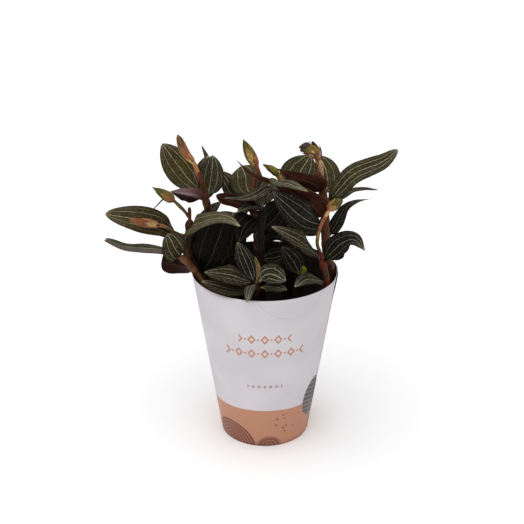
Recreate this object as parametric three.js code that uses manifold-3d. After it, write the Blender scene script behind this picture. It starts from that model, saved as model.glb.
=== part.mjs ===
// A jewel orchid in its nursery pot, held in a conical card sleeve.
// Millimetres, +Z up. The origin is on the pot's axis, on the surface it stands on.
// -Y is the side that is shown to the buyer, and +X is to the right as seen from there.
import * as THREE from "three";
import { mergeVertices } from "three/addons/utils/BufferGeometryUtils.js";
import Module from "manifold-3d";

const wasm = await Module();
wasm.setup();

// ---------------------------------------------------------------- driving dimensions

const GAP = 0.3; // clearance between two solids that touch

const SLEEVE = { height: 172, topRadius: 70, bottomRadius: 43.5, wall: 0.8 };
const POT = {
  height: 107,
  rimDepth: 10,
  baseRadius: 40,
  shoulderRadius: 55,
  wall: 1.2,
  base: 2,
  drainRadius: 4,
  drainCircle: 31,
  drains: 8,
};
const MIX = { height: 98, roughness: 1.2 };
const ROUND = 32; // facets round the sleeve, the pot and the potting mix

const STEM = { sides: 8, steps: 10 };
const SPIKE = { sides: 8, steps: 13, socket: 4 };
const LEAF = {
  rows: 7, // facets along a blade and across it
  columns: 4,
  thickness: 0.8,
  petiole: 8, // length of the stalk before the blade opens
  stalkHalfWidth: 1.5,
  stalkThickness: 2.2,
  tipHalfWidth: 0.5,
  heel: 0.5, // exponents of the blade's outline towards its foot and its tip
  taper: 0.75,
  fold: 0.4, // rise of the blade's halves from the midrib, and their curl back down
  curl: 0.28,
  wave: 0.07,
};

const COLOUR = {
  card: 0xf2f0ee,
  plastic: 0x2b211d,
  mix: 0x33231a,
  leaf: 0x39402c,
  bud: 0xa8704c,
};

// ---------------------------------------------------------------- the plant's growth
// Each shoot has a stem, given by its radius at the root and at the top and the points that
// it grows through, and its leaves. A leaf starts at a height on the stem and its midrib goes
// through the points of `rib` to its tip. `face` is the way its upper side looks.
// `fold` is how steeply the blade's halves rise, `taper` how long drawn its tip is, `heel` the
// same of its foot, and `petiole` the length of its stalk.
// A spike is the young flower stalk that ends the shoot: the radii of its stalk and bud, the
// share of its length where it opens into the bud, and its route from the stem's top. `crown`
// moves the bud's widest place from its foot (low) to its tip (high), and `blunt` rounds the
// bud off the more, the lower it is.

const SHOOTS = {
  tall_left: {
    stem: {
      root: 4.2,
      top: 2.7,
      route: [[-30, 22, 72], [-34, 22, 112], [-42, 17, 168], [-53, 6, 228], [-58, 1, 260]],
    },
    leaves: [
      {
        at: 249, width: 30, face: [0.1, -0.8, 0.5], heel: 0.6,
        rib: [[-67, 8, 256], [-81, 16, 271], [-96, 24, 290]],
      },
      {
        at: 234, width: 22, face: [-0.2, -0.8, 0.4],
        rib: [[-56, 18, 250], [-57, 25, 262], [-54, 31, 276]],
      },
      {
        at: 240, width: 25, face: [0.1, -0.8, 0.4],
        rib: [[-52, 13, 251], [-50, 19, 264], [-49, 26, 278]],
      },
      {
        at: 242, width: 13, face: [0.9, -0.5, 0.2],
        rib: [[-53, 24, 250], [-54, 34, 267], [-60, 40, 283]],
      },
      {
        at: 241, width: 22, face: [0, 0.9, 0.4], taper: 1.1, heel: 0.4,
        rib: [[-66, -4, 248], [-76, -8, 252], [-87, -12, 256]],
      },
    ],
    spike: {
      stalk: 2, bud: 5.2, opens: 0.47, crown: 1.2, blunt: 0.6,
      route: [[-62, 2, 270], [-66, 3, 279], [-73, 5, 287], [-80, 8, 304]],
    },
  },
  low_left: {
    stem: {
      root: 4.4,
      top: 2.5,
      route: [
        [-30, -16, 72], [-37, -16, 112], [-51, -13, 146], [-63, -10, 169], [-73, -8, 183],
        [-82, -8, 190],
      ],
    },
    leaves: [
      {
        at: 187, width: 9, face: [0.05, -0.05, 1], fold: 1.8, taper: 0.3, heel: 0.3, petiole: 3,
        rib: [
          [-98, -12, 194], [-114, -14, 196], [-131, -18, 200], [-139, -21, 205], [-148, -24, 212],
        ],
      },
      {
        at: 188, width: 26, face: [0.2, -0.85, 0.5], taper: 0.45, heel: 0.35, petiole: 3,
        rib: [[-84, -13, 199], [-87, -14, 207], [-91, -12, 213]],
      },
      {
        at: 178, width: 30, face: [0, 0.9, 0.3], taper: 0.35, heel: 0.6, petiole: 4,
        rib: [[-82, 2, 176], [-99, 3, 180]],
      },
    ],
  },
  left_spray: {
    stem: {
      root: 3.8,
      top: 3.4,
      route: [
        [-24, 0, 72], [-32, 0, 112], [-56, 3, 153], [-66, 3, 175], [-72, 0, 192], [-71, -4, 209],
        [-70, -6, 226],
      ],
    },
    leaves: [
      {
        at: 214, width: 24, face: [-0.2, -0.5, 1], heel: 0.15, petiole: 0.5,
        rib: [[-67, -13, 222], [-57, -20, 229], [-45, -29, 236], [-33, -39, 239], [-22, -48, 236]],
      },
      {
        at: 165, width: 53, face: [0.1, -0.8, 0.5], fold: 0.25, taper: 0.35, heel: 0.45, petiole: 4,
        rib: [[-53, -5, 182], [-44, -6, 205], [-36, -5, 231]],
      },
      { at: 222, width: 3.5, face: [0, -1, 0], rib: [[-70, -6, 230], [-70, -6, 238]], taper: 0.3 },
      {
        at: 205, width: 13, face: [0, -0.6, 0.8], petiole: 14,
        rib: [[-56, 20, 219], [-49, 26, 225], [-42, 30, 230]],
      },
    ],
    spike: {
      stalk: 1.5, bud: 5.4, opens: 0.54, crown: 0.62,
      route: [[-72, -6, 230], [-77, -6, 237], [-84, -6, 244], [-92, -6, 250], [-104, -6, 258]],
    },
  },
  far_left: {
    stem: {
      root: 3.2,
      top: 2.5,
      route: [
        [-18, 10, 72], [-28, 11, 112], [-53, 14, 152], [-64, 14, 172], [-72, 15, 190],
        [-76, 14, 198], [-82, 12, 203],
      ],
    },
    leaves: [
      {
        at: 199, width: 28, face: [0.1, -0.7, 0.8], taper: 0.65, heel: 0.6, petiole: 12,
        rib: [[-90, 6, 209], [-97, 1, 217], [-108, -4, 223], [-120, -8, 227], [-147, -16, 235]],
      },
    ],
    spike: {
      stalk: 1.7, bud: 4.9, opens: 0.5, crown: 1.15, blunt: 0.6,
      route: [[-88, 8, 208], [-95, -2, 217], [-104, -13, 224], [-123, -31, 235]],
    },
  },
  centre_back: {
    stem: {
      root: 4,
      top: 3,
      route: [
        [-4, 22, 72], [-6, 22, 112], [-8, 22, 160], [-8, 20, 200], [-12, 20, 236], [-10, 19, 250],
      ],
    },
    leaves: [
      {
        at: 234, width: 32, face: [0, -0.9, 0.4],
        rib: [[-17, 28, 245], [-19, 36, 255], [-23, 50, 259]],
      },
      {
        at: 228, width: 22, face: [0.2, -0.9, 0.3],
        rib: [[-25, 34, 236], [-34, 40, 245], [-42, 46, 255]],
      },
      { at: 222, width: 30, face: [0, 0.2, 1], rib: [[-2, 40, 232], [6, 62, 238], [10, 86, 228]] },
    ],
    spike: {
      stalk: 2.1, bud: 6.2, opens: 0.47, crown: 0.85, blunt: 0.8,
      route: [[-9, 18, 258], [-7, 16, 267], [-9, 15, 273], [-13, 14, 281], [-20, 12, 298]],
    },
  },
  centre: {
    stem: {
      root: 4.6,
      top: 3.6,
      route: [
        [-2, -10, 72], [-3, -10, 112], [-4, -10, 160], [-5, -10, 201], [-4, -8, 221],
        [-3, -6, 236],
      ],
    },
    leaves: [
      {
        at: 231, width: 22, face: [-0.1, 0.75, 0.6], taper: 0.6,
        rib: [[-17, -12, 242], [-30, -16, 248], [-44, -21, 256]],
      },
      {
        at: 234, width: 16, face: [-0.1, -0.3, 1], taper: 0.9,
        rib: [[-12, -24, 246], [-25, -42, 247]],
      },
      {
        at: 228, width: 27, face: [-0.5, -0.7, 0.4],
        rib: [[-13, -18, 230], [-19, -22, 225], [-24, -26, 212]],
      },
      { at: 233, width: 5, face: [0, -1, 0], rib: [[-2, -5, 243], [0, -4, 252]] },
      {
        at: 214, width: 30, face: [0.2, -0.8, 0.5],
        rib: [[8, 13, 218], [18, 24, 227], [24, 30, 238]],
      },
      {
        at: 200, width: 28, face: [0.1, -0.7, 0.6], heel: 0.95,
        rib: [[5, 10, 205], [15, 21, 203], [27, 27, 189]],
      },
    ],
  },
  centre_right: {
    stem: {
      root: 3.8,
      top: 2.8,
      route: [
        [14, 14, 72], [18, 14, 112], [24, 10, 160], [26, 6, 201], [22, 4, 227], [18, 0, 249],
        [15, -5, 263],
      ],
    },
    leaves: [
      {
        at: 254, width: 6, face: [0.1, -0.5, 0.9], taper: 1.1,
        rib: [[5, -8, 264], [-4, -9, 268], [-14, -9, 273], [-26, -6, 284]],
      },
      {
        at: 256, width: 13, face: [0.1, -0.5, 0.8],
        rib: [[10, -14, 267], [12, -27, 270], [23, -38, 272], [38, -42, 267]],
      },
      {
        at: 248, width: 17, face: [0, -0.1, 1], taper: 0.9,
        rib: [[4, -9, 258], [-6, -18, 255], [-19, -30, 255], [-36, -43, 261]],
      },
      {
        at: 250, width: 36, face: [-0.2, -0.8, 0.5],
        rib: [[26, 8, 256], [34, 18, 266], [43, 28, 277]],
      },
      { at: 187, width: 22, face: [0, -0.5, 0.8], rib: [[12, 13, 179], [-3, 12, 177]] },
    ],
    spike: {
      stalk: 2.5, bud: 4.3, opens: 0.45, crown: 0.9, blunt: 0.55,
      route: [[13, -7, 268], [8, -9, 275], [-2, -12, 282]],
    },
  },
  right_tall: {
    stem: {
      root: 4.4,
      top: 3.6,
      route: [
        [40, 4, 72], [47, 4, 112], [57, 3, 145], [63, 1, 168], [58, -3, 193], [57, -3, 214],
        [55, -2, 240], [52, -1, 262],
      ],
    },
    leaves: [
      {
        at: 238, width: 19.5, face: [-0.3, -0.8, 0.5], taper: 0.55, heel: 0.4,
        rib: [
          [67, 2, 250], [79, 4, 264], [87, 6, 269], [96, 8, 272], [109, 10, 277], [123, 12, 288],
        ],
      },
      { at: 236, width: 14, face: [0, 0.1, 1], rib: [[86, 24, 244], [108, 30, 242]], taper: 0.6 },
      {
        at: 246, width: 27, face: [0.3, -0.8, 0.4], heel: 0.7,
        rib: [[59, 17, 255], [57, 27, 265], [51, 34, 275]],
      },
      {
        at: 251, width: 26, face: [-0.1, 0.8, 0.5], fold: 0.25, taper: 1.25, heel: 0.5, petiole: 4,
        rib: [[42, -16, 266], [27, -26, 275], [10, -34, 286]],
      },
      {
        at: 226, width: 33, face: [-0.2, 0.8, 0.5], fold: 0.25, heel: 0.3, petiole: 5,
        rib: [[41, -14, 244], [25, -20, 257], [11, -26, 267]],
      },
      {
        at: 217, width: 30, face: [-0.1, -0.8, 0.6],
        rib: [[37, -24, 233], [23, -33, 248], [7, -39, 265]],
      },
      {
        at: 203, width: 14, face: [-0.4, -0.7, 0.5], taper: 1.9,
        rib: [[68, 2, 219], [75, 8, 231], [86, 11, 237], [102, 12, 240]],
      },
    ],
    spike: {
      stalk: 2.8, bud: 6, opens: 0.58, crown: 0.9, blunt: 0.6,
      route: [[51, -2, 270], [50, -3, 278], [47, -6, 287], [43, -11, 296], [33, -14, 300]],
    },
  },
  right_low: {
    stem: {
      root: 3.4,
      top: 2.6,
      route: [
        [36, -22, 72], [43, -25, 112], [52, -28, 145], [58, -28, 170], [54, -25, 187],
        [51, -22, 200],
      ],
    },
    leaves: [
      {
        at: 189, width: 23, face: [0.1, -0.7, 0.7], taper: 1.1,
        rib: [[62, -26, 201], [71, -30, 212], [81, -36, 218], [91, -46, 211]],
      },
      {
        at: 192, width: 22, face: [0, -0.5, 0.8],
        rib: [[36, -47, 218], [23, -53, 229], [6, -56, 239]],
      },
      { at: 170, width: 18, face: [0, -0.3, 0.9], rib: [[40, -44, 182], [27, -58, 181]] },
    ],
    spike: {
      stalk: 1.6, bud: 5.6, opens: 0.79, crown: 1, blunt: 0.45,
      route: [[48, -32, 212], [49, -38, 227], [54, -40, 242], [59, -41, 251], [69, -44, 260]],
    },
  },
  young_right: {
    stem: {
      root: 2.8,
      top: 2,
      route: [[26, -16, 72], [30, -18, 112], [34, -20, 160], [35, -22, 178]],
    },
    leaves: [
      { at: 170, width: 22, face: [0, -0.6, 0.8], rib: [[28, -14, 184], [16, -10, 200]] },
      { at: 175, width: 6, face: [0, -0.7, 0.7], rib: [[36, -26, 184], [35, -28, 188]] },
    ],
  },
  front: {
    stem: {
      root: 3.2,
      top: 2.4,
      route: [[-4, -36, 72], [-5, -42, 112], [-8, -46, 150], [-8, -48, 180]],
    },
    leaves: [
      { at: 176, width: 19, face: [-0.2, -0.8, 0.5], rib: [[-17, -40, 197], [-25, -34, 215]] },
      { at: 178, width: 5, face: [0.5, -0.8, 0], rib: [[-6, -44, 192], [-9, -40, 203]] },
      { at: 178, width: 24, face: [0, -0.3, 0.9], rib: [[-32, -54, 191], [-55, -46, 190]] },
      { at: 170, width: 20, face: [0, -0.3, 0.9], rib: [[-36, -56, 179], [-58, -46, 181]] },
      { at: 178, width: 10, face: [0, 0, 1], rib: [[-13, -64, 182], [-16, -78, 175]] },
      { at: 177, width: 23, face: [0, -0.6, 0.8], rib: [[3, -48, 189], [19, -56, 186]] },
      { at: 174, width: 15, face: [0, -0.3, 0.9], rib: [[8, -54, 179], [20, -58, 178]] },
    ],
  },
  back_left: {
    stem: {
      root: 4,
      top: 3,
      route: [[-18, 28, 72], [-22, 33, 112], [-30, 38, 160], [-36, 42, 194]],
    },
    leaves: [
      { at: 186, width: 30, face: [-0.2, 0.3, 0.9], rib: [[-52, 58, 198], [-68, 76, 187]] },
      { at: 191, width: 30, face: [0, 0.3, 0.9], rib: [[-32, 64, 204], [-28, 92, 190]] },
      { at: 180, width: 26, face: [0.3, 0.2, 0.9], rib: [[-14, 56, 196], [0, 72, 192]] },
    ],
  },
  back_right: {
    stem: {
      root: 4,
      top: 3,
      route: [[20, 32, 72], [22, 36, 112], [28, 40, 160], [32, 42, 204]],
    },
    leaves: [
      { at: 198, width: 32, face: [0.2, 0.3, 0.9], rib: [[46, 56, 212], [60, 76, 204]] },
      { at: 201, width: 32, face: [0, 0.3, 0.9], rib: [[30, 66, 217], [26, 96, 202]] },
      { at: 188, width: 26, face: [-0.3, 0.2, 0.9], rib: [[16, 60, 202], [2, 84, 196]] },
    ],
  },
};

// ---------------------------------------------------------------- curves and solids

const curveThrough = (points) =>
  new THREE.CatmullRomCurve3(points.map((p) => new THREE.Vector3(...p)), false, "centripetal");

// A closed geometry as a solid that can be joined and cut.
function solid(geometry) {
  const shape = geometry.clone();
  shape.deleteAttribute("normal");
  shape.deleteAttribute("uv");
  const merged = mergeVertices(shape, 1e-3);
  return new wasm.Manifold(
    new wasm.Mesh({
      numProp: 3,
      vertProperties: new Float32Array(merged.getAttribute("position").array),
      triVerts: new Uint32Array(merged.index.array),
    }),
  );
}

// The largest body of a solid, without the crumbs that a cut may leave.
function mainBody(shape) {
  return shape.decompose().reduce((kept, body) => (body.volume() > kept.volume() ? body : kept));
}

function geometryOf(shape) {
  const { vertProperties, triVerts } = shape.getMesh();
  const geometry = new THREE.BufferGeometry();
  geometry.setAttribute("position", new THREE.BufferAttribute(vertProperties, 3));
  geometry.setIndex(new THREE.BufferAttribute(triVerts, 1));
  geometry.computeVertexNormals();
  return geometry;
}

// A rod of round section along a curve, with its radius given for each share of the length.
function rod(curve, radiusAt, { sides, steps }) {
  const frames = curve.computeFrenetFrames(steps);
  const geometry = new THREE.CylinderGeometry(1, 1, 1, sides, steps);
  const position = geometry.getAttribute("position");
  const point = new THREE.Vector3();
  for (let i = 0; i < position.count; i++) {
    point.fromBufferAttribute(position, i);
    const ring = Math.round((point.y + 0.5) * steps);
    const share = ring / steps;
    const radius = radiusAt(share);
    const placed = curve.getPointAt(share);
    placed.addScaledVector(frames.binormals[ring], point.x * radius);
    placed.addScaledVector(frames.normals[ring], point.z * radius);
    position.setXYZ(i, placed.x, placed.y, placed.z);
  }
  return solid(geometry);
}

// A thin closed slab. place(t, q, side) gives its points: t runs from 0 to 1 along it, q from
// -1 to 1 across it, and side is 1 on its upper face and -1 below. Both faces are split alike.
function slab(rows, columns, place) {
  const corners = [];
  for (const side of [1, -1])
    for (let i = 0; i <= rows; i++)
      for (let j = 0; j <= columns; j++)
        corners.push(...place(i / rows, (2 * j) / columns - 1, side));
  const below = (rows + 1) * (columns + 1);
  const at = (i, j) => i * (columns + 1) + j;
  const faces = [];
  const quad = (a, b, c, d) => faces.push(a, b, c, a, c, d);
  for (let i = 0; i < rows; i++)
    for (let j = 0; j < columns; j++) {
      const [a, b, c, d] = [at(i, j), at(i + 1, j), at(i + 1, j + 1), at(i, j + 1)];
      quad(a, b, c, d);
      faces.push(below + a, below + c, below + b, below + a, below + d, below + c);
    }
  const rim = (a, b) => quad(a, below + a, below + b, b);
  for (let i = 0; i < rows; i++) {
    rim(at(i, 0), at(i + 1, 0));
    rim(at(i + 1, columns), at(i, columns));
  }
  for (let j = 0; j < columns; j++) {
    rim(at(0, j + 1), at(0, j));
    rim(at(rows, j), at(rows, j + 1));
  }
  const geometry = new THREE.BufferGeometry();
  geometry.setAttribute("position", new THREE.Float32BufferAttribute(corners, 3));
  geometry.setIndex(faces);
  return solid(geometry);
}

// ---------------------------------------------------------------- sleeve, pot and potting mix

const sleeveInside = (z) =>
  SLEEVE.bottomRadius - SLEEVE.wall + ((SLEEVE.topRadius - SLEEVE.bottomRadius) * z) / SLEEVE.height;

const lathe = (profile) =>
  new THREE.LatheGeometry(profile.map(([r, z]) => new THREE.Vector2(r, z)), ROUND).rotateX(Math.PI / 2);

function sleeve() {
  const { height, topRadius, bottomRadius } = SLEEVE;
  return solid(
    lathe([
      [bottomRadius, 0],
      [topRadius, height],
      [sleeveInside(height), height],
      [sleeveInside(0), 0],
      [bottomRadius, 0],
    ]),
  );
}

function growPot() {
  const { height, rimDepth, baseRadius, shoulderRadius, wall, base } = POT;
  const shoulder = height - rimDepth;
  const body = solid(
    lathe([
      [0, 0],
      [baseRadius, 0],
      [shoulderRadius, shoulder],
      [sleeveInside(shoulder) - GAP, shoulder],
      [sleeveInside(height) - GAP, height],
      [sleeveInside(height) - GAP - wall, height],
      [sleeveInside(shoulder) - GAP - wall, shoulder + wall],
      [shoulderRadius - wall, shoulder + wall],
      [baseRadius - wall, base],
      [0, base],
    ]),
  );
  const drain = new THREE.CylinderGeometry(POT.drainRadius, POT.drainRadius, 4 * base, 10);
  let pot = body;
  for (let i = 0; i < POT.drains; i++) {
    const turn = (2 * Math.PI * (i + 0.5)) / POT.drains;
    const hole = drain.clone().rotateX(Math.PI / 2);
    hole.translate(POT.drainCircle * Math.cos(turn), POT.drainCircle * Math.sin(turn), 0);
    pot = pot.subtract(solid(hole));
  }
  return pot;
}

// The potting mix fills the pot to just under its rim, with an uneven top.
function pottingMix() {
  const { baseRadius, shoulderRadius, wall, base, height, rimDepth } = POT;
  const potInside = (z) =>
    baseRadius - wall + ((shoulderRadius - baseRadius) * (z - base)) / (height - rimDepth + wall - base);
  const edge = height - rimDepth - 2;
  const topRadii = [48, 32, 16, 0];
  const geometry = lathe([
    [0, base + GAP],
    [potInside(base) - GAP, base + GAP],
    [potInside(edge) - GAP, edge],
    ...topRadii.map((r) => [r, MIX.height]),
  ]);
  const position = geometry.getAttribute("position");
  for (let i = 0; i < position.count; i++) {
    const [x, y, z] = [position.getX(i), position.getY(i), position.getZ(i)];
    if (z > edge + 1) position.setZ(i, z + MIX.roughness * Math.sin(x * 0.31 + 1) * Math.cos(y * 0.27));
  }
  return solid(geometry);
}

// ---------------------------------------------------------------- shoots

// The share of a stem's length at which it reaches a height.
function shareAtHeight(curve, height) {
  let [low, high] = [0, 1];
  while (high - low > 1e-4) {
    const middle = (low + high) / 2;
    if (curve.getPointAt(middle).z < height) low = middle;
    else high = middle;
  }
  return low;
}

function stem({ root, top, route }, slack = 0) {
  const start = new THREE.Vector3(...route[0]).addScaledVector(new THREE.Vector3(0, 0, -1), slack);
  const curve = curveThrough([start.toArray(), ...route.slice(1)]);
  return rod(curve, (share) => root + (top - root) * share + slack, STEM);
}

// Half the width of a leaf at a share of its length: a narrow stalk, then a pointed ellipse.
function halfWidth(share, stalkShare, { width, heel = LEAF.heel, taper = LEAF.taper }) {
  const [a, b] = [heel, taper];
  const along = Math.max(0, (share - stalkShare) / (1 - stalkShare));
  const outline = along ** a * (1 - along) ** b;
  const widest = (a / (a + b)) ** a * (b / (a + b)) ** b;
  const least = share < 0.5 ? LEAF.stalkHalfWidth : LEAF.tipHalfWidth;
  return Math.max(least, ((width / 2) * outline) / widest);
}

function leaf(plan, start) {
  const { fold = LEAF.fold, petiole = LEAF.petiole } = plan;
  const midrib = curveThrough([start.toArray(), ...plan.rib]);
  const stalkShare = Math.min(0.3, petiole / midrib.getLength());
  const faceWay = new THREE.Vector3(...plan.face);
  return slab(LEAF.rows, LEAF.columns, (t, q, side) => {
    const share = (1 - Math.cos(Math.PI * t)) / 2;
    const half = halfWidth(share, stalkShare, plan);
    const along = midrib.getTangentAt(share);
    const up = faceWay.clone().addScaledVector(along, -faceWay.dot(along)).normalize();
    const across = up.clone().cross(along);
    const opened = THREE.MathUtils.smoothstep(share, stalkShare, stalkShare + 0.2);
    const thickness = THREE.MathUtils.lerp(LEAF.stalkThickness, LEAF.thickness, opened);
    const wave = LEAF.wave * q * Math.abs(q) * Math.sin(3 * Math.PI * share);
    const lift = half * opened * (fold * Math.abs(q) - LEAF.curl * q * q + wave);
    return midrib
      .getPointAt(share)
      .addScaledVector(across, q * half)
      .addScaledVector(up, lift + (side * thickness) / 2)
      .toArray();
  });
}

// A flower stalk whose end swells into a closed bud. Its foot is sunk into the stem's top.
function spike({ stalk, bud, opens, route, crown = 0.7, blunt = 1 }, stemCurve, slack = 0) {
  const top = stemCurve.getPointAt(1);
  const foot = top.clone().addScaledVector(stemCurve.getTangentAt(1), -SPIKE.socket - slack);
  const curve = curveThrough([foot.toArray(), top.toArray(), ...route]);
  const radiusAt = (share) => {
    if (share < opens) return stalk + slack;
    const along = (share - opens) / (1 - opens);
    const swell = Math.max(0, Math.sin(Math.PI * along ** crown)) ** blunt;
    return stalk * (1 - along) + 0.3 + (bud - stalk) * swell + slack;
  };
  return rod(curve, radiusAt, SPIKE);
}

// ---------------------------------------------------------------- assembly

const group = new THREE.Group();

function addNode(name, shape, color, roughness) {
  const material = new THREE.MeshStandardMaterial({ color, roughness, metalness: 0 });
  const mesh = new THREE.Mesh(geometryOf(shape), material);
  mesh.name = name;
  group.add(mesh);
}

let mix = pottingMix();
for (const [name, plan] of Object.entries(SHOOTS)) {
  const stemCurve = curveThrough(plan.stem.route);
  let shoot = stem(plan.stem);
  for (const blade of plan.leaves)
    shoot = shoot.add(leaf(blade, stemCurve.getPointAt(shareAtHeight(stemCurve, blade.at))));
  if (plan.spike) {
    shoot = shoot.subtract(spike(plan.spike, stemCurve, GAP));
    addNode("spike_" + name, spike(plan.spike, stemCurve), COLOUR.bud, 0.6);
  }
  mix = mix.subtract(stem(plan.stem, GAP));
  addNode("shoot_" + name, mainBody(shoot), COLOUR.leaf, 0.5);
}
addNode("sleeve", sleeve(), COLOUR.card, 0.8);
addNode("grow_pot", growPot(), COLOUR.plastic, 0.5);
addNode("potting_mix", mainBody(mix), COLOUR.mix, 1);

export default group;
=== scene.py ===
"""A jewel orchid in its nursery pot, held in a conical card sleeve.

Everything in Blender is in metres with +Z up. The origin is on the pot's axis, on the surface
that the pot stands on, and -Y is the front. The sizes that the object's classes and the
plant's growth give are in millimetres, as in the CAD source, so every leaf, stem and bud lies
on the solid that it stands for. Angles are in radians, but for one that says otherwise.
"""
import logging
import math
import random
from bisect import bisect_right
from collections.abc import Callable, Sequence
from dataclasses import dataclass
from enum import Enum
from functools import reduce

import bmesh
import bpy
from mathutils import Matrix, Vector, noise


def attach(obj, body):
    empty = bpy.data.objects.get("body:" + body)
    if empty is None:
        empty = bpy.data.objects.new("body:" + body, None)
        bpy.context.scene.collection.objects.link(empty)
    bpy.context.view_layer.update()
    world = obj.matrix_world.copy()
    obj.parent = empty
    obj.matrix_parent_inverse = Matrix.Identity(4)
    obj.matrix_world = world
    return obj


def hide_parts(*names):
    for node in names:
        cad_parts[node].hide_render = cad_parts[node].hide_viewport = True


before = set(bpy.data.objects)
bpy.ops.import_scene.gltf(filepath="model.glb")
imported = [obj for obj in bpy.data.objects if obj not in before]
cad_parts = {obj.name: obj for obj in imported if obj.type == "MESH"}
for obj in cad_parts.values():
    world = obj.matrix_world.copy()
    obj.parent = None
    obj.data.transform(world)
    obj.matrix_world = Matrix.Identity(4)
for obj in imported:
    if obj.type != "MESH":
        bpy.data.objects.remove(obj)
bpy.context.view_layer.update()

LOG = logging.getLogger("jewel_orchid")
MM = 0.001
TURN = 2 * math.pi
BODY = "root"
SEEDS_PER_SHOOT = 31

Point = tuple[float, float, float]
Colour = tuple[float, float, float]


def paint(code: str) -> Colour:
    """Turns a painter's hex code, red first, into linear red, green and blue."""
    parts = (int(code[i : i + 2], 16) / 255 for i in (0, 2, 4))
    return tuple(p / 12.92 if p < 0.04045 else ((p + 0.055) / 1.055) ** 2.4 for p in parts)


def metres(point: Point) -> Vector:
    """Returns a point that is given in millimetres."""
    return Vector(point) * MM


def ease(value: float, low: float, high: float) -> float:
    """Returns 0 up to low, 1 from high on, and a smooth rise between them."""
    share = min(1.0, max(0.0, (value - low) / (high - low)))
    return share * share * (3 - 2 * share)


def hill(offset: float, reach: float) -> float:
    """Returns a soft hill: 1 at no offset, and nearly nothing at twice its reach."""
    return math.exp(-((offset / reach) ** 2))


def blend(a: float, b: float, share: float) -> float:
    """Returns the value that lies a share of the way from a to b."""
    return a + (b - a) * share


def blend_colour(a: Colour, b: Colour, share: float) -> Colour:
    """Returns the colour that lies a share of the way from a to b."""
    return tuple(blend(p, q, share) for p, q in zip(a, b))


# ------------------------------------------------------------------ colours of the plant


class Foliage(Enum):
    """The looks of a leaf's upper face: its colour and how strongly its veins show."""

    # NIGHT, DEEP, DUSK and SHADED are darkened to near black as painted shade, for leaves that lie in the
    # clump's shadow
    NIGHT = (paint("0b0804"), 0.14)
    DEEP = (paint("110d07"), 0.45)
    DARK = (paint("1f190b"), 0.65)
    GREEN = (paint("2b2613"), 0.75)
    GREY = (paint("46432b"), 0.8)
    BRONZE = (paint("362e14"), 0.8)
    SHADED = (paint("1a1404"), 0.5)
    PALE = (paint("34311c"), 0.75)
    MAUVE = (paint("5e523b"), 1.0)
    # the face of GREY, with an underside lightened and blued by painted sheen
    FROST = (paint("46432b"), 0.97)
    BRIGHT = (paint("29250f"), 0.92)
    VEINED = (paint("1e1910"), 0.92)
    DUSK = (paint("0f0c06"), 0.28)
    STRAW = (paint("785c34"), 0.1)
    RUST = (paint("4a2418"), 0.05)
    SPROUT = (paint("7d781c"), 0.1)


class Tint(Enum):
    """The colours of stems, sheaths and buds."""

    BARK = paint("5a331c")
    UMBER = paint("372216")
    AMBER = paint("86502c")
    TAN = paint("a3744c")
    ROSE = paint("96573f")
    WINE = paint("562219")
    OLIVE = paint("77662a")
    CREAM = paint("c4a565")
    LIME = paint("7d792c")
    MOSS = paint("4c4722")
    PLUM = paint("45302c")
    SOOT = paint("1e130c")
    CLAY = paint("65462e")
    BLUSH = paint("a9826c")
    RUSSET = paint("7a4a30")
    HAZEL = paint("4b2d17")


# the plain names by which the plant's growth calls them
(NIGHT, DEEP, DARK, GREEN, GREY, BRONZE, SHADED, PALE,
 MAUVE, FROST, BRIGHT, VEINED, DUSK, STRAW, RUST, SPROUT) = Foliage
(BARK, UMBER, AMBER, TAN, ROSE, WINE, OLIVE, CREAM,
 LIME, MOSS, PLUM, SOOT, CLAY, BLUSH, RUSSET, HAZEL) = Tint


# ------------------------------------------------------------------ curves and meshes


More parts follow.
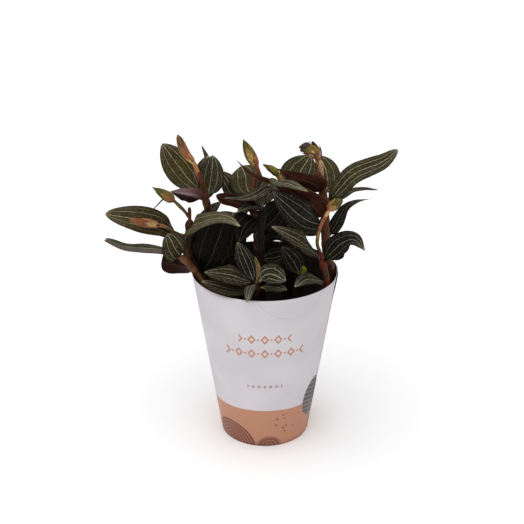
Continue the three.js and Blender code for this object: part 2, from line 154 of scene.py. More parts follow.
class Route:
    """A smooth curve through points, in metres, that is walked by its length."""

    STEPS = 32
    SMALL = 0.004
    FLAT = 0.2
    CLOSE = 1e-4

    def __init__(self, points: Sequence[Vector]) -> None:
        """Lays the curve.

        Args:
            points: Where the curve goes, first to last.
        """
        ends = [2 * points[0] - points[1], *points, 2 * points[-1] - points[-2]]
        self.stops = [points[0].copy()]
        for before, a, b, after in zip(ends, ends[1:], ends[2:], ends[3:]):
            self.stops += self._span(before, a, b, after)
        self.reach = [0.0]
        for a, b in zip(self.stops, self.stops[1:]):
            self.reach.append(self.reach[-1] + (b - a).length)
        self.length = self.reach[-1]
        self.sides = self._carry_side()

    def _span(self, before: Vector, a: Vector, b: Vector, after: Vector) -> list[Vector]:
        """Walks from a to b on a centripetal spline.

        Args:
            before: The point that comes before a.
            a: Where the span starts.
            b: Where the span ends.
            after: The point that comes after b.

        Returns:
            The stops after a, up to b.
        """
        gap0, gap1, gap2 = (math.sqrt((q - p).length) for p, q in ((before, a), (a, b), (b, after)))
        leave = ((a - before) / gap0 - (b - before) / (gap0 + gap1) + (b - a) / gap1) * gap1
        arrive = ((b - a) / gap1 - (after - a) / (gap1 + gap2) + (after - b) / gap2) * gap1
        stops = []
        for step in range(1, self.STEPS + 1):
            t = step / self.STEPS
            bend = leave * (t**3 - 2 * t**2 + t) + arrive * (t**3 - t**2)
            stops.append(a * (2 * t**3 - 3 * t**2 + 1) + b * (3 * t**2 - 2 * t**3) + bend)
        return stops

    def _carry_side(self) -> list[Vector]:
        """Carries one sideways direction along the curve without twisting it.

        Returns:
            The direction at every stop.
        """
        first = self.stops[1] - self.stops[0]
        side = first.cross(Vector((0, 1, 0)))
        if side.length < self.FLAT * first.length:
            side = first.cross(Vector((1, 0, 0)))
        sides = []
        for a, b in zip(self.stops, self.stops[1:]):
            way = (b - a).normalized()
            side = (side - way * side.dot(way)).normalized()
            sides.append(side)
        return [*sides, sides[-1]]

    def _between(self, marks: list[Vector], share: float) -> Vector:
        """Reads what is marked at the stops at a share of the length.

        Args:
            marks: A point or direction for every stop.
            share: From 0 at the start to 1 at the end.

        Returns:
            The point or direction there.
        """
        wanted = min(max(share, 0.0), 1.0) * self.length
        i = min(max(bisect_right(self.reach, wanted) - 1, 0), len(marks) - 2)
        return marks[i].lerp(marks[i + 1], (wanted - self.reach[i]) / (self.reach[i + 1] - self.reach[i]))

    def at(self, share: float) -> Vector:
        """Returns the point at a share of the length, going straight on past the end."""
        beyond = max(0.0, share - 1) * self.length
        return self._between(self.stops, share) + (self.way(1) * beyond if beyond else Vector())

    def way(self, share: float) -> Vector:
        """Returns the direction of travel at a share of the length."""
        ahead, behind = (self._between(self.stops, share + step) for step in (self.SMALL, -self.SMALL))
        return (ahead - behind).normalized()

    def across(self, share: float) -> tuple[Vector, Vector]:
        """Finds two directions that are square to the curve and to each other.

        Args:
            share: The share of the length.

        Returns:
            The two directions.
        """
        way = self.way(share)
        side = self._between(self.sides, share)
        side = (side - way * side.dot(way)).normalized()
        return side, way.cross(side)

    def out(self, share: float, angle: float) -> Vector:
        """Returns the direction that leads out of the curve at an angle round it."""
        side, up = self.across(share)
        return side * math.cos(angle) + up * math.sin(angle)

    def strip(self, share: float, face: Point) -> tuple[Vector, Vector]:
        """Lays a strip along the curve.

        Args:
            share: The share of the length.
            face: The way that the strip looks.

        Returns:
            The directions across the strip and up from it.
        """
        along = self.way(share)
        up = Vector(face)
        up = (up - along * up.dot(along)).normalized()
        return up.cross(along), up

    def share_at_height(self, height: float) -> float:
        """Finds where a rising curve reaches a height.

        Args:
            height: The height in metres.

        Returns:
            The share of the length there.
        """
        low, high = 0.0, 1.0
        while high - low > self.CLOSE:
            middle = (low + high) / 2
            if self.at(middle).z < height:
                low = middle
            else:
                high = middle
        return low


@dataclass
class Spot:
    """A point of a swept skin and what its finish needs to know about it."""

    point: Vector
    blade: Point
    tone: Colour
    veins: float = 0.0


class Skin:
    """One mesh in the making, of closed tubes that are each swept from a grid."""

    WELD = 1e-7

    def __init__(self) -> None:
        """Starts an empty mesh with its finish layers."""
        self.mesh = bmesh.new()
        self.blade = self.mesh.verts.layers.float_vector.new("blade")
        self.tone = self.mesh.verts.layers.float_color.new("tone")

    def sweep(
        self, place: Callable[[float, float], Spot], around: int, along: int, finishes: tuple[int, int]
    ) -> None:
        """Rolls a grid into a tube and closes it at its seam and at both ends.

        Args:
            place: Gives the spot at a turn round the tube and a share along it, 0 to 1.
            around: How many faces go round.
            along: How many faces go from end to end.
            finishes: The materials' numbers on the first half turn and on the second.
        """
        verts = bmesh.ops.create_grid(self.mesh, x_segments=around, y_segments=along, size=0.5)["verts"]
        for face in {face for vert in verts for face in vert.link_faces}:
            face.material_index = finishes[int(face.calc_center_median().x > 0)]
            face.smooth = True
        for vert in verts:
            spot = place(vert.co.x + 0.5, vert.co.y + 0.5)
            vert.co = spot.point
            vert[self.blade] = spot.blade
            vert[self.tone] = (*spot.tone, spot.veins)
        bmesh.ops.remove_doubles(self.mesh, verts=verts, dist=self.WELD)
        closed = {face for vert in verts if vert.is_valid for face in vert.link_faces}
        bmesh.ops.recalc_face_normals(self.mesh, faces=list(closed))

    def flap(
        self, place: Callable[[float, float, int], Spot], columns: int, rows: int, finishes: tuple[int, int]
    ) -> None:
        """Sweeps a thin flap as a flattened tube, over its outer side and back under it.

        Args:
            place: Gives the spot at a place across the flap, -1 to 1, a run from 0 at its foot
                to 1 at its tip, and a side, 1 for the outer and -1 for the inner.
            columns: How many faces go across each side.
            rows: How many faces go from foot to tip.
            finishes: The materials' numbers on the outer side and on the inner.
        """

        def spot(turn: float, run: float) -> Spot:
            """Returns the flap's spot at a turn round it."""
            return place(4 * turn - 1, run, 1) if turn < 0.5 else place(3 - 4 * turn, run, -1)

        self.sweep(spot, 2 * columns, rows, finishes)

    def rod(
        self, route: Route, radius: Callable[[float], float], tone: Callable[[float], Colour],
        around: int, along: int, finish: int = 0,
    ) -> None:
        """Sweeps a round rod along a route, with rounded ends.

        Args:
            route: The rod's middle.
            radius: Gives the radius in metres at a share of the length.
            tone: Gives the colour at a share of the length.
            around: How many faces go round.
            along: How many faces go from end to end.
            finish: The material's number.
        """

        def place(turn: float, share: float) -> Spot:
            """Finds a spot of the rod.

            Args:
                turn: Round the rod, from 0 to 1.
                share: Along it, from 0 to 1.

            Returns:
                The spot.
            """
            thick = radius(share)
            inset = max(0.0, 1 - min(share, 1 - share) * route.length / thick)
            reach = thick * math.sqrt(max(0.0, 1 - inset**2))
            angle = TURN * turn
            blade = (math.sin(angle), share, thick / MM)
            return Spot(route.at(share) + route.out(share, angle) * reach, blade, tone(share))

        self.sweep(place, around, along, (finish, finish))


def lathe(
    mesh: bmesh.types.BMesh, outline: Sequence[tuple[float, float]], steps: int, weld: float = 1e-6
) -> None:
    """Spins an outline into a closed body.

    Args:
        mesh: The mesh that it goes into.
        outline: Radii and heights in millimetres, from the axis round to the axis.
        steps: How many faces go round.
        weld: The distance in metres up to which points become one.
    """
    verts = [mesh.verts.new((radius * MM, 0, height * MM)) for radius, height in outline]
    edges = [mesh.edges.new(pair) for pair in zip(verts, verts[1:])]
    bmesh.ops.spin(
        mesh, geom=[*verts, *edges], cent=(0, 0, 0), axis=(0, 0, 1), angle=TURN, steps=steps,
        use_merge=True, use_normal_flip=False, use_duplicate=False,
    )
    bmesh.ops.remove_doubles(mesh, verts=mesh.verts, dist=weld)


def add_object(name: str, data: bpy.types.ID) -> bpy.types.Object:
    """Links a new object to the scene.

    Args:
        name: The object's name.
        data: Its mesh, light or camera.

    Returns:
        The object, at the origin.
    """
    made = bpy.data.objects.new(name, data)
    bpy.context.scene.collection.objects.link(made)
    return made


def dress(
    name: str, mesh: bmesh.types.BMesh, materials: Sequence[bpy.types.Material], crease: float = 50
) -> bpy.types.Object:
    """Makes an object of a mesh and gives it its materials and smooth shading.

    Args:
        name: The object's name.
        mesh: Its mesh, which is used up.
        materials: Its materials, in the order of their numbers.
        crease: The angle in degrees from which an edge stays sharp.

    Returns:
        The object, linked to the scene.
    """
    data = bpy.data.meshes.new(name)
    mesh.to_mesh(data)
    mesh.free()
    data.shade_smooth()
    data.set_sharp_from_angle(angle=math.radians(crease))
    for material in materials:
        data.materials.append(material)
    return add_object(name, data)


def hand_over(piece: bpy.types.Object, node: str) -> bpy.types.Object:
    """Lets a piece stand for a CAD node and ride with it.

    Args:
        piece: The finished piece.
        node: The CAD node that it replaces.

    Returns:
        The same piece.
    """
    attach(piece, BODY)
    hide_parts(node)
    LOG.info("%s: %d faces for %s", piece.name, len(piece.data.polygons), node)
    return piece


# ------------------------------------------------------------------ shader maths


def maths(operation: str, flipped: bool = False) -> Callable[..., "Value"]:
    """Makes an operator of a value that adds a Math node.

    Args:
        operation: The node's operation.
        flipped: Whether the value comes last, as in 1 - value.

    Returns:
        The operator.
    """

    def operator(value: "Value", *others: "Value | float") -> "Value":
        """Returns the result of the operation."""
        values = (*others, value) if flipped else (value, *others)
        return value.recipe.node("ShaderNodeMath", dict(enumerate(values)), operation=operation)

    return operator


class Value:
    """A shader socket that carries a number, on which maths is written as usual."""

    __add__ = __radd__ = maths("ADD")
    __mul__ = __rmul__ = maths("MULTIPLY")
    __sub__ = maths("SUBTRACT")
    __rsub__ = maths("SUBTRACT", flipped=True)
    __truediv__ = maths("DIVIDE")
    __rtruediv__ = maths("DIVIDE", flipped=True)
    __pow__ = maths("POWER")
    __rpow__ = maths("POWER", flipped=True)
    __abs__ = maths("ABSOLUTE")
    sine = maths("SINE")
    most = maths("MAXIMUM")
    _wrap = maths("WRAP")

    def __init__(self, recipe: "Recipe", socket: bpy.types.NodeSocket) -> None:
        """Wraps an output socket of a material."""
        self.recipe, self.socket = recipe, socket

    def wrap(self, period: float) -> "Value":
        """Returns the value brought within half a period of zero."""
        return self._wrap(period / 2, -period / 2)

    def rise(self, low: float, high: float) -> "Value":
        """Makes a smooth step.

        Args:
            low: Where the step is 0.
            high: Where it is 1, which may be lower than low.

        Returns:
            The step.
        """
        if low > high:
            return 1 - self.rise(high, low)
        inputs = {0: self, 1: low, 2: high, 3: 0.0, 4: 1.0}
        return self.recipe.node("ShaderNodeMapRange", inputs, interpolation_type="SMOOTHSTEP")


class Recipe:
    """A material in the making: its nodes, and one shader at the end."""

    def __init__(self, name: str, **constants: float | Colour) -> None:
        """Starts a material with one Principled shader.

        Args:
            name: The material's name.
            constants: Values that are the same all over, by socket name with _ for a space.
        """
        self.material = bpy.data.materials.new(name)
        self.material.use_nodes = True
        self.tree = self.material.node_tree
        self.shader = next(n for n in self.tree.nodes if n.type == "BSDF_PRINCIPLED")
        for key, value in constants.items():
            socket = self.shader.inputs[key.replace("_", " ")]
            socket.default_value = (*value, 1) if isinstance(value, tuple) else value

    def node(
        self, kind: str, inputs: dict[int | str, Value | float | Colour], output: int | str = 0,
        **settings: object,
    ) -> Value:
        """Adds a node.

        Args:
            kind: The node's type.
            inputs: The values or links of its sockets, by number or name.
            output: The socket to go on with.
            settings: The node's own settings, which are set first.

        Returns:
            The chosen output.
        """
        made = self.tree.nodes.new(kind)
        for key, setting in settings.items():
            setattr(made, key, setting)
        for key, value in inputs.items():
            if isinstance(value, Value):
                self.tree.links.new(value.socket, made.inputs[key])
            elif isinstance(value, tuple) and len(made.inputs[key].default_value) == 4:
                made.inputs[key].default_value = (*value, 1)
            else:
                made.inputs[key].default_value = value
        return Value(self, made.outputs[output])

    def place(self, stretch: Point = (1, 1, 1)) -> Value:
        """Returns the object's own coordinates in millimetres, stretched along each axis."""
        inputs = {0: self.node("ShaderNodeTexCoord", {}, "Object"), 1: tuple(part / MM for part in stretch)}
        return self.node("ShaderNodeVectorMath", inputs, operation="MULTIPLY")

    def layer(self, name: str, output: str = "Vector") -> Value:
        """Returns one of the mesh's own layers."""
        return self.node("ShaderNodeAttribute", {}, output, attribute_name=name)

    def parts(self, vector: Value) -> tuple[Value, Value, Value]:
        """Returns a vector's three numbers."""
        made = self.node("ShaderNodeSeparateXYZ", {0: vector}).socket.node
        return tuple(Value(self, made.outputs[i]) for i in range(3))

    def vector(self, x: Value, y: Value, z: Value | float = 0.0) -> Value:
        """Returns a vector made of three numbers."""
        return self.node("ShaderNodeCombineXYZ", {0: x, 1: y, 2: z})

    def cloud(self, where: Value, scale: float, detail: float = 2.0) -> Value:
        """Returns soft noise from 0 to 1."""
        return self.node("ShaderNodeTexNoise", {"Vector": where, "Scale": scale, "Detail": detail})

    def cells(self, where: Value, scale: float, feature: str = "F1") -> Value:
        """Returns the distance from the middle, or from the edge, of cells that fill the space."""
        return self.node("ShaderNodeTexVoronoi", {"Vector": where, "Scale": scale}, feature=feature)

    def mix(self, share: Value, a: Value | Colour, b: Value | Colour) -> Value:
        """Returns a colour a share of the way from a to b."""
        return self.node("ShaderNodeMix", {0: share, 6: a, 7: b}, 2, data_type="RGBA")

    def tinted(self, colour: Value | Colour, tint: Colour) -> Value:
        """Returns a colour multiplied by another."""
        inputs = {0: 1.0, 6: colour, 7: tint}
        return self.node("ShaderNodeMix", inputs, 2, data_type="RGBA", blend_type="MULTIPLY")

    def wash(self, share: Value, colour: Value, tint: Colour) -> Value:
        """Returns a colour that goes over to its tinted self by a share."""
        return self.mix(share, colour, self.tinted(colour, tint))

    def finish(
        self, colour: Value, roughness: Value, height: Value, depth: float, metallic: Value | None = None
    ) -> bpy.types.Material:
        """Joins what varies over the surface to the shader.

        Args:
            colour: The base colour.
            roughness: The roughness.
            height: The relief, from 0 to 1.
            depth: How deep the relief is, in millimetres.
            metallic: How metallic it is.

        Returns:
            The finished material.
        """
        bump = self.node("ShaderNodeBump", {"Height": height, "Distance": depth * MM, "Strength": 1.0})
        ends = {"Base Color": colour, "Roughness": roughness, "Metallic": metallic, "Normal": bump}
        for key, value in ends.items():
            if value is not None:
                self.tree.links.new(value.socket, self.shader.inputs[key])
        return self.material


# ------------------------------------------------------------------ finishes


@dataclass(frozen=True)
class LeafFace:
    """The velvety upper side of a leaf, with pale veins from its foot to its tip.

    Each of the `lines` is a vein: its place across a half leaf, its width and its strength.
    """

    lines: tuple[Point, ...] = (
        (0.0, 0.27, 1.0), (0.48, 0.21, 0.8), (0.78, 0.15, 0.35), (0.24, 0.11, 0.2), (0.63, 0.1, 0.16),
    )
    vein: Colour = paint("c9c3a8")
    mottled: Colour = (0.5, 0.55, 0.5)
    glow: Colour = (1.2, 1.45, 0.7)
    foot: Colour = (0.7, 0.52, 0.45)
    middle: Colour = (1.5, 1.35, 1.0)
    rim: Colour = (0.45, 0.45, 0.45)
    sheen: Colour = (0.85, 0.9, 0.8)

    def material(self) -> bpy.types.Material:
        """Builds the finish.

        Returns:
            The material.
        """
        make = Recipe(
            "leaf_face", Sheen_Weight=0.02, Sheen_Roughness=0.45, Sheen_Tint=self.sheen,
            Specular_IOR_Level=0.05,
        )
        across, share, half = make.parts(make.layer("blade"))
        place = make.place()
        dapple = make.cloud(place, 0.55, 4.0)
        aside = abs(across + (make.cloud(place, 0.16) - 0.5) * 0.09)
        lines = [
            (abs(aside - position) * half).rise(width * 1.5, width * 0.4) * force
            for position, width, force in self.lines
        ]
        bend = make.cloud(place, 0.35) * 0.9
        inputs = {0: make.vector(across * half * 0.62, share * 13), 1: make.vector(bend, bend, bend)}
        net_place = make.node("ShaderNodeVectorMath", inputs, operation="ADD")
        net = make.cells(net_place, 1.0, "DISTANCE_TO_EDGE").rise(0.06, 0.0) * 0.34 * dapple.rise(0.35, 0.65)
        worn = make.cloud(place, 0.3, 3.0).rise(0.3, 0.6) * 0.55 + 0.45
        light = (reduce(Value.most, lines) * worn).most(net)
        veins = light * share.rise(0.1, 0.24) * make.layer("tone", "Alpha")
        body = make.layer("tone", "Color")
        body = make.wash(make.cloud(place, 0.09, 3.0).rise(0.35, 0.7) * 0.6, body, self.mottled)
        body = make.wash(make.cloud(place, 0.05, 2.0).rise(0.5, 0.64) * 0.8, body, self.glow)
        body = make.wash(share.rise(0.38, 0.12) * 0.7, body, self.foot)
        body = make.wash(aside.rise(0.5, 0.0) * 0.35, body, self.middle)
        body = make.wash(aside.rise(0.9, 0.99) * 0.8, body, self.rim)
        relief = 0.5 - veins * 0.35 + make.cells(place, 2.6) * 0.18 + dapple * 0.15
        return make.finish(make.mix(veins * 0.85, body, self.vein), 0.36 + dapple * 0.22, relief, 0.22)


@dataclass(frozen=True)
class LeafBack:
    """The maroon underside of a leaf, with a satin gloss and faint raised veins.

    How strongly a leaf's upper face shows its veins also says how its underside looks: darkened
    with painted shade where that is weak, washed with the face's colour as painted sheen where it
    is strong, lightened further with painted sheen near its full strength and, at its full
    strength, two-toned with painted shade on one half and a painted highlight strip.
    """

    lines: tuple[tuple[float, float], ...] = ((0.0, 0.7), (0.36, 0.3), (0.7, 0.3))
    deep: Colour = paint("290f07")
    pale: Colour = paint("3d1d12")
    rim: Colour = paint("6a4c39")
    vein: Colour = paint("57392f")
    # mauve: tint of the painted sheen that washes undersides
    mauve: Colour = (1.05, 0.95, 1.2)
    # shade: multiplier for the painted shade on the underside of a leaf with faint veins
    shade: Colour = (0.5, 0.5, 0.45)
    # multiplier that lightens an underside with painted sheen
    frost: Colour = (1.75, 1.7, 2.25)
    # pale colour of the painted highlight strip on a turned-over leaf
    painted_highlight_strip: Colour = paint("a3939b")
    sheen: Colour = (0.9, 0.75, 0.78)

    def material(self) -> bpy.types.Material:
        """Builds the finish.

        Returns:
            The material.
        """
        make = Recipe(
            "leaf_back", Sheen_Weight=0.06, Sheen_Roughness=0.32, Sheen_Tint=self.sheen,
            Specular_IOR_Level=0.04,
        )
        across, share, half = make.parts(make.layer("blade"))
        place = make.place()
        aside = abs(across)
        lines = [
            (abs(aside - position) * half).rise(width * 1.6, width * 0.4) for position, width in self.lines
        ]
        veins = reduce(Value.most, lines) * share.rise(0.08, 0.3)
        mottle = make.cloud(place, 0.12, 4.0)
        body = make.mix(mottle.rise(0.3, 0.75), self.deep, self.pale)
        strength = make.layer("tone", "Alpha")
        # leaves darkened with painted shade also get a fainter rim and fainter veins
        clear = strength.rise(0.1, 0.45) * 0.8 + 0.2
        body = make.mix(aside.rise(0.8, 0.98) * share.rise(0.0, 0.2) * clear * 0.65, body, self.rim)
        # painted shade: the underside darkens as the face's veins grow faint
        body = make.wash(strength.rise(0.45, 0.1), body, self.shade)
        # painted sheen: the underside takes on the face's colour, tinted mauve
        washed = make.tinted(make.layer("tone", "Color"), self.mauve)
        body = make.mix(strength.rise(0.45, 0.95), body, washed)
        # painted sheen: a pale bluish lift on the underside near full strength
        body = make.wash(strength.rise(0.93, 0.96), body, self.frost)
        turned = strength.rise(0.97, 1.0)
        body = make.mix(turned * share.rise(0.7, 0.3) * 0.75, body, self.pale)
        # painted highlight: a pale strip along the middle of a turned-over leaf
        side = across - mottle * 0.3
        gloss = side.rise(-0.3, -0.08) * side.rise(0.25, -0.05)
        body = make.mix(gloss * turned * share.rise(0.2, 0.5) * 0.5, body, self.painted_highlight_strip)
        # painted shade: one half of a turned-over leaf is darkened to a shaded deep maroon
        lower = (mottle * 0.3 - across).rise(0.05, 0.3) * turned
        body = make.mix(lower * 0.95, body, make.tinted(self.deep, self.shade))
        colour = make.mix(veins * clear * 0.4, body, self.vein)
        return make.finish(colour, 0.42 + mottle * 0.2, veins * 0.6 + make.cells(place, 2.2) * 0.14, 0.2)


@dataclass(frozen=True)
class StemFlesh:
    """Fleshy stems: streaked along their length, with speckles and a soft gloss."""

    streak: Colour = (1.6, 1.5, 1.3)
    lit: Colour = (1.5, 1.5, 1.4)
    dim: Colour = (0.75, 0.55, 0.5)
    fleck: Colour = (0.5, 0.4, 0.4)

    def material(self) -> bpy.types.Material:
        """Builds the finish.

        Returns:
            The material.
        """
        make = Recipe("stem_flesh", Specular_IOR_Level=0.12)
        place = make.place()
        streaks = make.cloud(make.place((1, 1, 0.12)), 0.9, 4.0)
        speckle = make.cells(place, 1.4)
        patches = make.cloud(place, 0.5, 3.0)
        body = make.wash(streaks.rise(0.35, 0.75) * 0.6, make.layer("tone", "Color"), self.streak)
        body = make.wash(patches.rise(0.5, 0.64) * 0.6, body, self.lit)
        body = make.wash(patches.rise(0.46, 0.34) * 0.55, body, self.dim)
        body = make.wash(speckle.rise(0.28, 0.1) * 0.5, body, self.fleck)
        return make.finish(body, 0.34 + streaks * 0.2, streaks * 0.6 + speckle * 0.3, 0.18)


@dataclass(frozen=True)
class BudScales:
    """The bracts of a bud: finely ribbed from foot to tip, with a dark margin."""

    rib_count: float = 16.0
    rib: Colour = (0.62, 0.56, 0.5)
    margin: Colour = (0.3, 0.24, 0.2)
    fleck: Colour = (0.42, 0.36, 0.3)
    bright: Colour = (1.5, 1.55, 1.45)
    flush: Colour = (1.15, 0.65, 0.6)

    def material(self) -> bpy.types.Material:
        """Builds the finish.

        Returns:
            The material.
        """
        make = Recipe("bud_scales", Specular_IOR_Level=0.25)
        across, share, _ = make.parts(make.layer("blade"))
        place = make.place()
        ribs = (across * self.rib_count).sine() * 0.5 + 0.5
        mottle = make.cloud(place, 0.5, 3.0)
        body = make.wash(ribs * 0.35, make.layer("tone", "Color"), self.rib)
        body = make.wash(mottle.rise(0.47, 0.62) * 0.75, body, self.bright)
        body = make.wash(mottle.rise(0.44, 0.32) * 0.6, body, self.flush)
        spots = make.cells(place, 0.9).rise(0.34, 0.12)
        blotch = make.cloud(place, 0.28, 4.0).rise(0.5, 0.66)
        body = make.wash((spots * 0.4).most(blotch * 0.5), body, self.fleck)
        edge = abs(across).rise(0.74, 0.95).most(share.rise(0.86, 1.0))
        body = make.wash(edge * 0.8, body, self.margin)
        return make.finish(body, 0.38 + mottle * 0.2, ribs * 0.5 + mottle * 0.4, 0.16)


def oval(x: Value, up: Value, wide: float = 1.0, high: float = 1.0) -> Value:
    """Returns the square of how far out a place is in an oval, which is 1 on its edge."""
    x, up = x / wide, up / high
    return x * x + up * up


class PrintedCard:
    """The sleeve's outer face as it is printed on, with two equal halves round the cone."""

    def __init__(self, make: Recipe) -> None:
        """Reads the angle from the front, the height and the sleeve's radius there.

        Args:
            make: The material that is printed.
        """
        self.make = make
        self.angle, self.height, self.radius = make.parts(make.layer("print"))
        self.turn = self.angle.wrap(math.pi)

    def off(self, centre: float, level: float) -> tuple[Value, Value]:
        """Returns how far right of an angle and above a level a place is, in millimetres."""
        return (self.turn - centre) * self.radius, self.height - level

    def foot(self, level: float, wave: float) -> Value:
        """Returns the band at the foot, whose upper edge waves gently round a level."""
        edge = level + wave * (self.angle * 2 + math.pi / 2).sine()
        return (self.height - edge).rise(0.25, -0.25)

    def garland(self, level: float, reach: float, pitch: float, size: float) -> Value:
        """Prints a level row of hollow lozenges with dots between them.

        Args:
            level: The row's height.
            reach: How far it goes to either side.
            pitch: How far apart its lozenges are.
            size: Half a lozenge's height.

        Returns:
            Where the row is.
        """
        x, up = self.off(0.0, level)
        step, up = abs(x.wrap(pitch)), abs(up)
        lozenge = (step / (size * 0.78) + up / size).rise(1.04, 0.96)
        hollow = (step / (size * 0.4) + up / (size * 0.5)).rise(0.92, 1.08)
        dot_size = (size * 0.2) ** 2
        dot = oval((x + pitch / 2).wrap(pitch), up).rise(dot_size + 0.15, dot_size - 0.15)
        return (lozenge * hollow).most(dot) * abs(x).rise(reach + 0.1, reach - 0.1)

    def arch(self, centre: float, size: float) -> tuple[Value, Value]:
        """Prints a half-round arch that stands on the lower edge, with rings in it.

        Args:
            centre: The angle of its middle.
            size: Its radius.

        Returns:
            Where the arch is, and where its rings are.
        """
        away = oval(*self.off(centre, 0.0)) ** 0.5
        disc = away.rise(size + 0.2, size - 0.2)
        return disc, abs(away.wrap(3.6)).rise(0.45, 0.15) * disc

    def pebble(self) -> tuple[Value, Value]:
        """Prints a pebble across the band's edge, with straight rules in it.

        Returns:
            Where the pebble is, and where its rules are.
        """
        x, up = self.off(1.12, 46)
        body = oval(x, up, 15, 22).rise(1.02, 0.98)
        return body, abs((up + x * 0.3).wrap(5.0)).rise(0.4, 0.12) * body

    def seeds(self) -> Value:
        """Returns a loose sprinkle of round seeds on the band."""
        dots = self.make.cells(self.make.vector(self.turn * self.radius, self.height), 0.24)
        return dots.rise(0.3, 0.24) * oval(*self.off(0.42, 27), 13, 12).rise(1.0, 0.9)

    def tab(self) -> Value:
        """Returns the half-moon cut of a push-in tab under the rim."""
        away = oval(self.angle * self.radius - 27.5, self.height - 190) ** 0.5
        return abs(away - 39.5).rise(0.42, 0.12)


@dataclass(frozen=True)
class CardPrint:
    """The sleeve's outer face: white card, a copper foot band and a plain printed pattern."""

    white: Colour = paint("d2cdd1")
    shade: Colour = paint("c9c4c9")
    copper: Colour = paint("bb8468")
    dull: Colour = (0.42, 0.22, 0.14)
    brown: Colour = paint("7d4b3c")
    slate: Colour = paint("5a5658")
    rule: Colour = (0.42, 0.41, 0.42)
    cut: Colour = (0.42, 0.38, 0.38)
    band: float = 43.2
    wave: float = 1.4

    def material(self) -> bpy.types.Material:
        """Builds the finish.

        Returns:
            The material.
        """
        make = Recipe("card_print", Specular_IOR_Level=0.4)
        card = PrintedCard(make)
        place = make.place()
        fibre = make.cloud(place, 0.7, 5.0)
        foot, tab = card.foot(self.band, self.wave), card.tab()
        pebble, rules = card.pebble()
        arches = (card.arch(-0.78, 25.0), card.arch(0.1, 12.0))
        discs, rings = (reduce(Value.most, shapes) for shapes in zip(*arches))
        layers = (
            (card.garland(129, 25, 12.5, 5.2).most(card.garland(113, 38, 12.5, 5.2)), self.copper),
            (card.garland(74, 17, 5.6, 1.9), self.brown),
            (foot, make.mix(fibre.rise(0.3, 0.8) * 0.25, self.copper, self.dull)),
            (discs * foot, self.brown),
            (rings * foot, self.copper),
            (pebble, self.slate),
            (rules, self.rule),
            (card.seeds() * foot, self.brown),
            (tab * 0.55, self.cut),
        )
        colour = make.mix(make.cloud(place, 0.02).rise(0.3, 0.7), self.white, self.shade)
        for share, ink in layers:
            colour = make.mix(share, colour, ink)
        rough = 0.62 - foot * 0.2 + fibre * 0.12
        return make.finish(colour, rough, fibre * 0.12 + 0.5 - tab * 0.5, 0.12, foot * 0.2)


@dataclass(frozen=True)
class CardInside:
    """The sleeve's inner face: board in a dark brown-grey."""

    dark: Colour = paint("2a2320")
    pale: Colour = paint("3c322c")

    def material(self) -> bpy.types.Material:
        """Builds the finish.

        Returns:
            The material.
        """
        make = Recipe("card_inside", Specular_IOR_Level=0.25)
        fibre = make.cloud(make.place((1, 1, 0.4)), 0.6, 5.0)
        colour = make.mix(fibre.rise(0.3, 0.75), self.dark, self.pale)
        return make.finish(colour, 0.7 + fibre * 0.2, fibre, 0.1)


@dataclass(frozen=True)
class PotPlastic:
    """Thin moulded nursery plastic: nearly black, satin, with scuffs and dust."""

    base: Colour = paint("231e1b")
    dust: Colour = paint("4c4038")

    def material(self) -> bpy.types.Material:
        """Builds the finish.

        Returns:
            The material.
        """
        make = Recipe("pot_plastic", Specular_IOR_Level=0.5)
        scuff = make.cloud(make.place((1, 1, 0.25)), 0.35, 6.0)
        dust = make.cloud(make.place(), 0.06, 4.0).rise(0.45, 0.75) * 0.5
        colour = make.mix(dust.most(scuff.rise(0.62, 0.75) * 0.5), self.base, self.dust)
        return make.finish(colour, 0.38 + scuff * 0.3, scuff, 0.05)


@dataclass(frozen=True)
class BarkMix:
    """Moist bark chips and peat."""

    peat: Colour = paint("241811")
    bark: Colour = paint("5a3d29")

    def material(self) -> bpy.types.Material:
        """Builds the finish.

        Returns:
            The material.
        """
        make = Recipe("bark_mix", Specular_IOR_Level=0.3)
        place = make.place()
        crumb = make.cloud(place, 0.8, 6.0)
        body = make.mix(crumb.rise(0.35, 0.7), self.peat, make.layer("tone", "Color"))
        return make.finish(body, 0.7 + crumb * 0.25, crumb + make.cells(place, 0.9) * 0.4, 0.5)


@dataclass(frozen=True)
class PlantFinishes:
    """The finishes that all shoots and spikes share."""

    face: bpy.types.Material
    back: bpy.types.Material
    stem: bpy.types.Material
    scales: bpy.types.Material


# ------------------------------------------------------------------ the plant's parts


